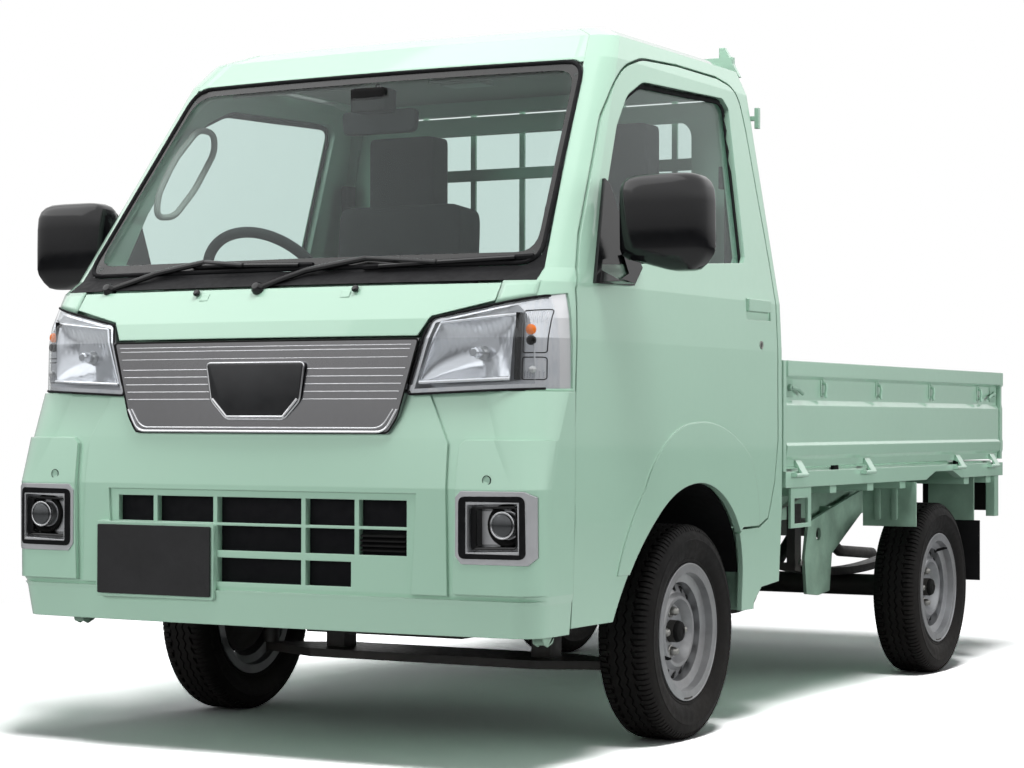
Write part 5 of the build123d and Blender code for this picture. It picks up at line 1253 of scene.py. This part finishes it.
def soft_block(shape, low, high, crown=0.0):
    """A block with extra edge rows, so that rounding keeps its form, and a raised middle."""
    steps = (0.0, 0.12, 0.5, 0.88, 1.0)
    places = {}
    for i, first in enumerate(steps):
        for j, second in enumerate(steps):
            for k, third in enumerate(steps):
                if all(number in (1, 2, 3) for number in (i, j, k)):
                    continue
                place = Vector([low[axis] + (high[axis] - low[axis]) * share
                                for axis, share in enumerate((first, second, third))])
                if k == 4 and i in (1, 2, 3) and j in (1, 2, 3):
                    place.z += crown
                places[i, j, k] = place
    names = {key: number for number, key in enumerate(places)}
    faces = []
    for i in range(4):
        for j in range(4):
            for level in (0, 4):
                faces.append([names[key] for key in ((i, j, level), (i + 1, j, level), (i + 1, j + 1, level),
                                                     (i, j + 1, level))])
                faces.append([names[key] for key in ((i, level, j), (i + 1, level, j), (i + 1, level, j + 1),
                                                     (i, level, j + 1))])
                faces.append([names[key] for key in ((level, i, j), (level, i + 1, j), (level, i + 1, j + 1),
                                                     (level, i, j + 1))])
    shape.add(places.values(), faces)


def lean(shape, foot, angle):
    """Leans what a shape holds backwards about a line across the vehicle."""
    bmesh.ops.rotate(shape.bm, verts=shape.bm.verts, cent=foot, matrix=Matrix.Rotation(-angle, 3, "X"))


SEAT_PLACE = 0.330
STEERING_CENTRE = Vector((-SEAT_PLACE, -1.150, 1.130))
STEERING_TILT = math.radians(38.0)
TRIM_FACE = 0.583
TRIM_SHEET = 0.006

# Columns: name, half width, front and foot, rear and top, crown
SEAT_BLOCKS = [("seat_cushion", 0.212, (-0.955, 0.700), (-0.480, 0.885), 0.018),
               ("seat_back", 0.200, (-0.555, 0.800), (-0.425, 1.400), 0.0),
               ("headrest", 0.105, (-0.500, 1.370), (-0.410, 1.590), 0.0)]


class AddCabin(bpy.types.Operator):
    """Furnishes the cab: seats, belts, lining, visors, mirror, handles, dials and door trims"""
    bl_idname = "truck.add_cabin"
    bl_label = "Cabin"

    def execute(self, context):
        for side, across in (("left", SEAT_PLACE), ("right", -SEAT_PLACE)):
            for name, half, low, high, crown in SEAT_BLOCKS:
                piece = Shape()
                soft_block(piece, (across - half, *low), (across + half, *high), crown=crown)
                if name == "seat_back":
                    lean(piece, (across, -0.560, 0.80), angle=math.radians(4.0))
                obj = piece.finish(f"{name}_{side}", "seat_cloth", "truck", rounds=2,
                                   replaces=("seats",) if name == "seat_cushion" and side == "left" else ())
        posts = Shape()
        for across in (SEAT_PLACE, -SEAT_PLACE):
            for shift in (-0.055, 0.055):
                posts.tube([(across + shift, -0.470, 1.300), (across + shift, -0.475, 1.380)], radius=0.006,
                           sides=10)
        posts.finish("headrest_posts", "chrome", "truck")

        belts = Shape()
        for sign in (1.0, -1.0):
            outline = [(sign * 0.610, 1.420), (sign * 0.606, 1.420), (sign * 0.606, 0.800),
                       (sign * 0.610, 0.800)]
            belts.prism(outline, "y", start=-0.372, end=-0.326)
            belts.box((sign * 0.6 - 0.012, -0.370, 1.415), (sign * 0.6 + 0.012, -0.328, 1.475))
        belts.finish("seat_belts", "belt_web", "truck", bevel=0.001)

        header = Shape()
        outline = rounded([(-0.545, -1.060), (0.545, -1.060), (0.560, -0.310), (-0.560, -0.310)], radius=0.05)
        header.prism(outline, "z", start=1.705, end=1.712)
        header.finish("headliner", "headliner", "truck", bevel=0.002)
        lamp = Shape()
        soft_block(lamp, (-0.060, -0.740, 1.690), (0.060, -0.660, 1.705))
        lamp.finish("cabin_lamp", "white_plastic", "truck", bevel=0.003)

        visors = Shape()
        for across in (0.300, -0.300):
            outline = rounded([(-1.090, 1.640), (-1.082, 1.650), (-0.960, 1.690), (-0.955, 1.680)],
                              radius=0.003)
            visors.prism(outline, "x", start=across - 0.190, end=across + 0.190)
        visors.finish("sun_visors", "pale_plastic", "truck", bevel=0.003)

        mirror = Shape()
        outline = rounded([(-0.105, 1.515), (0.105, 1.515), (0.110, 1.575), (-0.110, 1.575)], radius=0.018)
        mirror.prism(outline, "y", start=-1.150, end=-1.128)
        mirror.tube([(0.0, -1.140, 1.570), (0.0, -1.155, 1.600), (0.0, -1.150, 1.640)], radius=0.007,
                    sides=10)
        mirror.finish("inner_mirror", "dash_plastic", "truck", bevel=0.004)
        camera = Shape()
        soft_block(camera, (-0.050, -1.205, 1.565), (0.050, -1.140, 1.625))
        camera.finish("screen_sensor_box", "flat_black", "truck", rounds=1)

        grab = Shape()
        grab.tube([(0.592, -1.310, 1.250), (0.560, -1.285, 1.275), (0.552, -1.235, 1.350),
                   (0.562, -1.185, 1.425), (0.590, -1.160, 1.445)], radius=0.011, sides=12)
        grab.finish("grab_handle", "dash_plastic", "truck")
        loop = Shape()
        outline = rounded([(-1.290, 1.315), (-1.215, 1.322), (-1.125, 1.400), (-1.035, 1.510),
                           (-1.040, 1.560), (-1.110, 1.562), (-1.215, 1.470), (-1.285, 1.372)], radius=0.030)
        loop.tube([(-0.586, along, level) for along, level in outline], radius=0.0085, sides=10, closed=True)
        loop.finish("driver_grab_handle", "pale_plastic", "truck")

        skin = Skin("dashboard")
        trim = Shape()
        for low, high in (((-0.470, 0.955), (-0.190, 1.060)), ((-0.120, 0.880), (0.120, 1.030)),
                          ((0.190, 0.860), (0.560, 0.990))):
            outline = rounded([low, (high[0], low[1]), high, (low[0], high[1])], radius=0.012)
            middle = skin.hit(((low[0] + high[0]) / 2, 0.0, (low[1] + high[1]) / 2), FORWARDS).y
            trim.prism(outline, "y", start=middle - 0.010, end=middle + 0.010)
        trim.finish("dash_panels", "flat_black", "truck", bevel=0.003)
        vents = Shape()
        for across in (-0.580, 0.580, -0.160, 0.160):
            middle = skin.hit((across, 0.0, 1.045), FORWARDS).y
            for step in range(5):
                vents.box((across - 0.035, middle - 0.004, 1.022 + 0.010 * step),
                          (across + 0.035, middle + 0.006, 1.0245 + 0.010 * step))
        vents.finish("dash_vents", "dash_plastic", "truck")
        dials = Shape()
        hood_place = Vector((-SEAT_PLACE, -1.330, 1.118))
        soft_block(dials, hood_place + Vector((-0.150, -0.080, -0.020)),
                   hood_place + Vector((0.150, 0.050, 0.045)), crown=0.012)
        dials.finish("dial_hood", "dash_plastic", "truck", rounds=2)

        boss = Shape()
        axis = Vector((0.0, math.cos(STEERING_TILT), math.sin(STEERING_TILT)))
        boss.lathe([(-0.022, 0.0), (-0.022, 0.058), (0.004, 0.066), (0.014, 0.058), (0.020, 0.036),
                    (0.022, 0.0)],
                   STEERING_CENTRE, axis, steps=28)
        boss.finish("steering_pad", "dash_plastic", "steering_wheel", bevel=0.002)

        for side, sign in SIDES:
            trims = Shape()
            outline = rounded([(-1.215, 0.640), (-0.400, 0.660), (-0.395, 1.135), (-1.230, 1.125)],
                              radius=0.040)
            trims.prism(outline, "x", start=sign * TRIM_FACE, end=sign * (TRIM_FACE + TRIM_SHEET))
            rest = rounded([(-0.880, 0.890), (-0.560, 0.895), (-0.560, 0.940), (-0.900, 0.935)], radius=0.014)
            trims.prism(rest, "x", start=sign * 0.545, end=sign * 0.585)
            trims.finish(f"door_trim_{side}", "dash_plastic", f"door_{side}", bevel=0.003)
            winder = Shape()
            winder.disc(radius=0.020, thickness=0.010, centre=(sign * TRIM_FACE, -1.020, 0.860),
                        axis=(-sign, 0.0, 0.0), steps=20, rim=0.003)
            winder.tube([(sign * 0.572, -1.020, 0.860), (sign * 0.556, -1.060, 0.815),
                         (sign * 0.553, -1.075, 0.790)], radius=0.006, sides=8)
            winder.disc(radius=0.013, thickness=0.026, centre=(sign * 0.556, -1.078, 0.787),
                        axis=(-sign, 0.0, 0.0), steps=16, rim=0.003)
            winder.finish(f"window_winder_{side}", "flat_black", f"door_{side}")
        return {"FINISHED"}


# Bed


def hook(shape, sign, along, level, skin):
    """A rope hook: a plate with two rivets and a bent bar under it."""
    face = skin.side(sign, along, level).x
    shape.prism(plate_outline(along, level, half_first=0.014, half_second=0.026, radius=0.006), "x",
                start=face - 0.001 * sign, end=face + 0.0025 * sign)
    shape.tube([(face + 0.002 * sign, along, level + 0.012), (face + 0.012 * sign, along, level + 0.008),
                (face + 0.014 * sign, along, level - 0.004), (face + 0.011 * sign, along, level - 0.020),
                (face + 0.013 * sign, along, level - 0.030)], radius=0.0045, sides=8)
    for shift in (-0.019, 0.019):
        shape.disc(radius=0.004, thickness=0.004, centre=(face + 0.002 * sign, along, level + shift),
                   axis=(sign, 0.0, 0.0), steps=12, rim=0.0015)


HOOK_LEVEL = 0.888
LATCH_LEVEL = 0.884
STOP_LEVEL = 0.664
LOCK_PLACE = (-0.413, 0.993)


class AddBedDetails(bpy.types.Operator):
    """Adds the gates' hooks and latches, the door locks, the tail lamps' lenses and the rear plate"""
    bl_idname = "truck.add_bed_details"
    bl_label = "Bed details"

    def execute(self, context):
        for side, sign in SIDES:
            body = f"side_gate_{side}"
            skin = Skin(body)
            hooks = Shape()
            for along in (0.060, 0.501, 0.972, 1.445):
                hook(hooks, sign, along, HOOK_LEVEL, skin)
            hooks.finish(f"rope_hooks_{side}", "paint", body)

            latches = Shape()
            for along, turn in ((-0.190, 1.0), (1.596, -1.0)):
                face = skin.side(sign, along, 0.885).x
                latches.prism(plate_outline(along, LATCH_LEVEL, half_first=0.030, half_second=0.026,
                                            radius=0.006),
                              "x", start=face - 0.001 * sign, end=face + 0.002 * sign)
                latches.disc(radius=0.009, thickness=0.012, centre=(face, along, LATCH_LEVEL),
                             axis=(sign, 0.0, 0.0), steps=18, rim=0.002)
                latches.tube([(face + 0.010 * sign, along, LATCH_LEVEL),
                              (face + 0.013 * sign, along + 0.040 * turn, 0.880),
                              (face + 0.013 * sign, along + 0.075 * turn, 0.868)], radius=0.0052, sides=10)
            latches.finish(f"gate_latches_{side}", "satin_paint", body)

            caps = Shape()
            for along in (0.180, 1.250):
                face = skin.side(sign, along, STOP_LEVEL).x
                caps.prism(plate_outline(along, STOP_LEVEL, half_first=0.018, half_second=0.012,
                                         radius=0.004), "x",
                           start=face - 0.001 * sign, end=face + 0.010 * sign)
            caps.finish(f"gate_stops_{side}", "rubber", body, bevel=0.002)

        for side, sign in SIDES:
            skin = Skin(f"door_{side}")
            face = skin.side(sign, *LOCK_PLACE).x
            barrel = Shape()
            barrel.lathe([(-0.002, 0.0), (-0.002, 0.0115), (0.0015, 0.0112), (0.002, 0.0090), (0.001, 0.0085),
                          (0.001, 0.0)], (face, *LOCK_PLACE), (sign, 0.0, 0.0), steps=28)
            barrel.finish(f"door_lock_{side}", "zinc", f"door_{side}")
            # A thin black box on the lock: painted shade standing for the dark key slot
            keyhole_shade = Shape()
            keyhole_shade.box((face + 0.0008 * sign - 0.0006, -0.4140, 0.988),
                     (face + 0.0008 * sign + 0.0006, -0.4120, 0.998))
            keyhole_shade.finish(f"door_lock_slot_{side}", "flat_black", f"door_{side}")

        lenses = Shape()
        amber = Shape()
        clear = Shape()
        for sign in (1.0, -1.0):
            for shape, start, end in ((lenses, 0.550, 0.676), (amber, 0.508, 0.548), (clear, 0.466, 0.506)):
                low, high = sorted((sign * start, sign * end))
                outline = rounded([(low, 0.500), (high, 0.500), (high, 0.606), (low, 0.606)], radius=0.008)
                shape.prism(outline, "y", start=1.6715, end=1.6760)
        lenses.finish("tail_lamp_faces", "red_lens", "truck", bevel=0.0015)
        amber.finish("tail_lamp_indicators", "amber_lens", "truck", bevel=0.0015)
        clear.finish("tail_lamp_reverse", "bulb_glass", "truck", bevel=0.0015)

        plate = Shape()
        outline = rounded([(-0.165, 0.510), (0.165, 0.510), (0.165, 0.600), (0.165, 0.672), (-0.165, 0.672)],
                          radius=0.006)
        plate.prism([(across, level - 0.120) for across, level in outline], "y", start=1.640, end=1.642)
        plate.finish("rear_plate_blank", "white_plastic", "truck")

        ribs = Shape()
        for across in (0.600, 0.655):
            outline = rounded([(across, 0.490), (across + 0.022, 0.490), (across + 0.022, 0.600),
                               (across, 0.600)], radius=0.008)
            ribs.prism(outline, "y", start=0.7815, end=0.788)
        ribs.mirror().finish("mudguard_ribs", "satin_paint", "truck", bevel=0.003)

        pads = Shape()
        for across in (0.6, -0.6):
            for level in (0.70, 0.90):
                pads.disc(radius=0.012, thickness=0.006, centre=(across, -0.2325, level), axis=BACKWARDS,
                          steps=16, rim=0.002)
        pads.finish("head_wall_pads", "rubber", "truck")
        return {"FINISHED"}


# Underside


PIPE_RADIUS = 0.019
SILENCER_PLACE = 0.270
SILENCER_LEVEL = 0.280
SILENCER_LENGTH = 0.420
COIL_PLACE = 0.540
COIL_RADIUS = 0.043
COIL_FOOT = 0.560
COIL_HEIGHT = 0.108
COIL_TURNS = 4.0
COIL_WIRE = 0.0055


class AddUnderside(bpy.types.Operator):
    """Adds the exhaust, brake lines and hoses, spring coils, plugs, bolts and fuel filler"""
    bl_idname = "truck.add_underside"
    bl_label = "Underside"

    def execute(self, context):
        exhaust = Shape()
        exhaust.tube([(0.200, -0.640, 0.330), (0.255, -0.500, 0.290), (0.270, -0.300, 0.270),
                      (0.270, 0.100, 0.270)],
                     radius=PIPE_RADIUS, sides=14)
        exhaust.tube([(0.270, 0.520, 0.290), (0.275, 0.760, 0.330), (0.262, 0.980, 0.440),
                      (0.262, 1.150, 0.440), (0.275, 1.330, 0.360), (0.290, 1.600, 0.340)],
                     radius=PIPE_RADIUS, sides=14)
        exhaust.lathe([(0.0, 0.0), (0.0, PIPE_RADIUS), (0.012, 0.060), (0.030, 0.068), (0.390, 0.068),
                       (0.408, 0.060), (SILENCER_LENGTH, PIPE_RADIUS), (SILENCER_LENGTH, 0.0)],
                      (SILENCER_PLACE, 0.100, SILENCER_LEVEL), BACKWARDS, steps=28)
        exhaust.finish("exhaust", "casting", "truck", bevel=0.002)
        clamps = Shape()
        for along in (0.180, 0.440):
            clamps.lathe([(0.0, 0.066), (0.0, 0.0705), (0.014, 0.0705), (0.014, 0.066)],
                         (SILENCER_PLACE, along, SILENCER_LEVEL), BACKWARDS, steps=28)
            clamps.tube([(0.270, along + 0.007, 0.348), (0.290, along + 0.007, 0.380),
                         (0.345, along + 0.007, 0.390)], radius=0.006, sides=8)
        clamps.finish("exhaust_clamps", "zinc", "truck", bevel=0.001)

        lines = Shape()
        for sign in (1.0, -1.0):
            lines.tube([(sign * 0.410, -1.300, 0.405), (sign * 0.412, -0.600, 0.405),
                        (sign * 0.412, 0.200, 0.470), (sign * 0.412, 0.800, 0.590)], radius=0.004, sides=8)
        lines.finish("brake_lines", "zinc", "truck")
        hoses = Shape()
        for sign in (1.0, -1.0):
            hoses.tube([(sign * 0.410, -0.900, 0.400), (sign * 0.440, -0.930, 0.360),
                        (sign * 0.470, -0.920, 0.330)],
                       radius=0.007, sides=8)
        hoses.finish("brake_hoses", "rubber", "truck")

        coils = Shape()
        for sign in (1.0, -1.0):
            steps = 80
            points = []
            for step in range(steps + 1):
                share = step / steps
                turn = 2.0 * math.pi * COIL_TURNS * share
                points.append((sign * COIL_PLACE + COIL_RADIUS * math.cos(turn),
                               FRONT_AXLE + COIL_RADIUS * math.sin(turn), COIL_FOOT + COIL_HEIGHT * share))
            coils.tube(points, radius=COIL_WIRE, sides=8)
        coils.finish("spring_coils", "satin_black", "truck", replaces=("strut_springs",))

        flange = Shape()
        for sign in (1.0, -1.0):
            flange.disc(radius=0.030, thickness=0.012, centre=(sign * 0.052, REAR_AXLE, 0.300),
                        axis=(sign, 0.0, 0.0), steps=20, rim=0.003)
        flange.finish("axle_drain_plugs", "zinc", "truck")

        bolts = Shape()
        for sign in (1.0, -1.0):
            for along in (0.572, 1.572):
                bolts.lathe([(0.0, 0.0), (0.0, 0.011), (0.008, 0.011), (0.010, 0.008), (0.010, 0.0)],
                            (sign * 0.440, along, 0.362), (sign, 0.0, 0.0), steps=6)
        bolts.finish("spring_eye_bolts", "zinc", "truck")
        filler = Shape()
        filler.tube([(-0.600, 0.300, 0.520), (-0.640, 0.300, 0.570), (-0.690, 0.300, 0.600)], radius=0.022,
                    sides=14)
        filler.lathe([(0.0, 0.0), (0.0, 0.034), (0.018, 0.034), (0.022, 0.030), (0.022, 0.0)],
                     (-0.686, 0.300, 0.598), (-0.9, 0.0, 0.35), steps=28)
        filler.finish("fuel_filler", "flat_black", "truck", bevel=0.001)
        return {"FINISHED"}


# Stage

CAMERA_TURN = math.radians(29.056)
CAMERA_TILT = math.radians(-0.652)
CAMERA_ROLL = math.radians(-0.133)
CAMERA_PLACE = Vector((3.26526, -6.39507, 0.79275))
FOCAL_PIXELS = 2451.4
IMAGE_SIZE = (1024, 768)
IMAGE_CENTRE = (499.33, 392.57)

# Columns: name, place, aim, width and height, power in watts, mirrored in gloss, lights the floor
LAMPS = [("Key", (1.4, -2.2, 6.0), (0.0, 0.0, 0.6), (2.4, 2.4), 270.0, False, True),
         ("Front", (-2.5, -7.5, 2.2), (0.0, -1.0, 0.9), (5.0, 2.6), 240.0, False, False),
         ("Side", (7.5, 0.5, 2.2), (0.0, 0.0, 0.8), (6.0, 2.6), 330.0, False, False),
         ("Back", (-3.0, 7.5, 2.6), (0.0, 1.0, 0.7), (5.0, 2.6), 130.0, False, False),
         ("Softbox", (-2.5, -2.6, 4.8), (0.0, -1.4, 0.9), (5.0, 5.5), 85.0, True, False)]
FLOOR_HALF = 60.0
FLOOR_SEEN = (4.5, 4.5, 4.5)
FLOOR_FADE_START = 2.6
FLOOR_FADE_END = 4.2
WORLD_LIGHT = 0.05
# The sky that gloss mirrors: from its strength at one height of a ray to that at another
SKY = (("From Min", -0.05), ("From Max", 0.35), ("To Min", 0.2), ("To Max", 1.5))


def camera_matrix():
    back = Vector((math.sin(CAMERA_TURN) * math.cos(CAMERA_TILT),
                   -math.cos(CAMERA_TURN) * math.cos(CAMERA_TILT), math.sin(CAMERA_TILT)))
    right = (-back).cross(Vector((0.0, 0.0, 1.0))).normalized()
    up = right.cross(-back).normalized()
    roll = Matrix.Rotation(CAMERA_ROLL, 3, -back)
    right, up = roll @ right, roll @ up
    turn = Matrix((right, up, back)).transposed().to_4x4()
    turn.translation = CAMERA_PLACE
    return turn


def seen_directly(tree):
    """1 for rays from the camera, straight or through glass, 0 for the light and for what is mirrored."""
    path = tree.nodes.new("ShaderNodeLightPath")
    either = tree.nodes.new("ShaderNodeMath")
    either.operation = "MAXIMUM"
    tree.links.new(path.outputs["Is Camera Ray"], either.inputs[0])
    tree.links.new(path.outputs["Is Transmission Ray"], either.inputs[1])
    return either.outputs["Value"]


def area_light(name, place, aim, size, power, mirrored, kept_off):
    """A rectangular lamp. It can be left out of what gloss mirrors, and kept off some objects."""
    data = bpy.data.lights.new(name, "AREA")
    data.shape = "RECTANGLE"
    data.size, data.size_y = size
    data.energy = power
    light = bpy.data.objects.new(name, data)
    light.location = place
    light.rotation_euler = (Vector(aim) - Vector(place)).to_track_quat("-Z", "Y").to_euler()
    bpy.context.scene.collection.objects.link(light)
    light.visible_glossy = mirrored
    if kept_off:
        light.light_linking.receiver_collection = kept_off


def floor_material(colour):
    """A matt floor that keeps the truck's shadow and turns to plain white further out."""
    made = Finish("Studio floor", colour, roughness=0.7)
    made.vary_roughness(made.noise(scale=2.0), low=0.65, high=0.75)
    made.vary_colour(seen_directly(made.tree), FLOOR_SEEN)
    made.shader.inputs["Specular IOR Level"].default_value = 0.0
    white = made.node("ShaderNodeEmission", Color=(1.0, 1.0, 1.0, 1.0), Strength=1.0)
    apart = made.node("ShaderNodeVectorMath", operation="LENGTH")
    made.link(made.place, apart.inputs[0])
    far = made.ramp(apart.outputs["Value"], 0.0, 1.0, FLOOR_FADE_START, FLOOR_FADE_END)
    amount = made.maths("MULTIPLY", far, seen_directly(made.tree))
    mix = made.node("ShaderNodeMixShader")
    made.link(amount, mix.inputs["Fac"])
    made.link(made.shader.outputs["BSDF"], mix.inputs[1])
    made.link(white.outputs["Emission"], mix.inputs[2])
    made.link(mix.outputs["Shader"], made.tree.nodes["Material Output"].inputs["Surface"])
    return made.material


class SetStage(bpy.types.Operator):
    """Lays the pale floor, hangs the lamps and places the camera"""
    bl_idname = "truck.set_stage"
    bl_label = "Set the stage"

    def execute(self, context):
        scene = context.scene
        data = bpy.data.cameras.new("Photo camera")
        data.sensor_fit = "HORIZONTAL"
        data.sensor_width = 36.0
        data.lens = FOCAL_PIXELS / IMAGE_SIZE[0] * data.sensor_width
        data.shift_x = (IMAGE_SIZE[0] / 2 - IMAGE_CENTRE[0]) / IMAGE_SIZE[0]
        data.shift_y = (IMAGE_CENTRE[1] - IMAGE_SIZE[1] / 2) / IMAGE_SIZE[0]
        data.clip_end = 200.0
        camera = bpy.data.objects.new("Photo camera", data)
        camera.matrix_world = camera_matrix()
        scene.collection.objects.link(camera)
        scene.camera = camera

        bm = bmesh.new()
        bmesh.ops.create_grid(bm, x_segments=1, y_segments=1, size=FLOOR_HALF)
        mesh = bpy.data.meshes.new("Studio floor")
        bm.to_mesh(mesh)
        bm.free()
        floor = bpy.data.objects.new("Studio_floor", mesh)
        scene.collection.objects.link(floor)
        mesh.materials.append(floor_material(tuple(scene.truck_finish.floor)))

        world = bpy.data.worlds.new("Studio")
        world.use_nodes = True
        scene.world = world
        nodes, links = world.node_tree.nodes, world.node_tree.links
        light = nodes["Background"]
        light.inputs["Color"].default_value = (0.95, 0.97, 1.0, 1.0)
        light.inputs["Strength"].default_value = WORLD_LIGHT
        mirrored = nodes.new("ShaderNodeBackground")
        height = nodes.new("ShaderNodeSeparateXYZ")
        links.new(nodes.new("ShaderNodeTexCoord").outputs["Generated"], height.inputs["Vector"])
        sky = nodes.new("ShaderNodeMapRange")
        for label, value in SKY:
            sky.inputs[label].default_value = value
        links.new(height.outputs["Z"], sky.inputs["Value"])
        links.new(sky.outputs["Result"], mirrored.inputs["Strength"])
        glossy = nodes.new("ShaderNodeLightPath").outputs["Is Glossy Ray"]
        choice = nodes.new("ShaderNodeMixShader")
        links.new(glossy, choice.inputs["Fac"])
        links.new(light.outputs["Background"], choice.inputs[1])
        links.new(mirrored.outputs["Background"], choice.inputs[2])
        seen = nodes.new("ShaderNodeBackground")
        seen.inputs["Color"].default_value = (1.0, 1.0, 1.0, 1.0)
        mix = nodes.new("ShaderNodeMixShader")
        links.new(seen_directly(world.node_tree), mix.inputs["Fac"])
        links.new(choice.outputs["Shader"], mix.inputs[1])
        links.new(seen.outputs["Background"], mix.inputs[2])
        links.new(mix.outputs["Shader"], nodes["World Output"].inputs["Surface"])

        kept_off = bpy.data.collections.new("Without fill light")
        kept_off.objects.link(floor)
        kept_off.collection_objects[0].light_linking.link_state = "EXCLUDE"
        for name, place, aim, size, power, mirrored, lights_floor in LAMPS:
            area_light(name, place, aim, size, power, mirrored, None if lights_floor else kept_off)
        scene.view_settings.view_transform = "Standard"
        return {"FINISHED"}


class TruckPanel(bpy.types.Panel):
    """Lists the steps that dress the truck"""
    bl_idname = "VIEW3D_PT_truck"
    bl_label = "Truck"
    bl_space_type = "VIEW_3D"
    bl_region_type = "UI"
    bl_category = "Truck"

    def draw(self, context):
        layout = self.layout
        for group, kind in ((context.scene.truck_finish, TruckFinish),
                            (context.scene.truck_sizes, TruckSizes)):
            for name in kind.__annotations__:
                layout.prop(group, name)
        for operator in OPERATORS:
            layout.operator(operator.bl_idname)


OPERATORS = (DressNodes, AddTyres, AddWheelDetails, AddGrille, AddHeadlamps, AddBumperDetails, AddGlazing,
             AddWipers, AddMirrors, AddCabin, AddBedDetails, AddUnderside, SetStage)


def register():
    for kind in (TruckFinish, TruckSizes, *OPERATORS, TruckPanel):
        bpy.utils.register_class(kind)
    bpy.types.Scene.truck_finish = PointerProperty(type=TruckFinish)
    bpy.types.Scene.truck_sizes = PointerProperty(type=TruckSizes)


def unregister():
    del bpy.types.Scene.truck_sizes
    del bpy.types.Scene.truck_finish
    for kind in reversed((TruckFinish, TruckSizes, *OPERATORS, TruckPanel)):
        bpy.utils.unregister_class(kind)


def main():
    register()
    for operator in OPERATORS:
        group, name = operator.bl_idname.split(".")
        getattr(getattr(bpy.ops, group), name)()


if __name__ == "__main__":
    main()
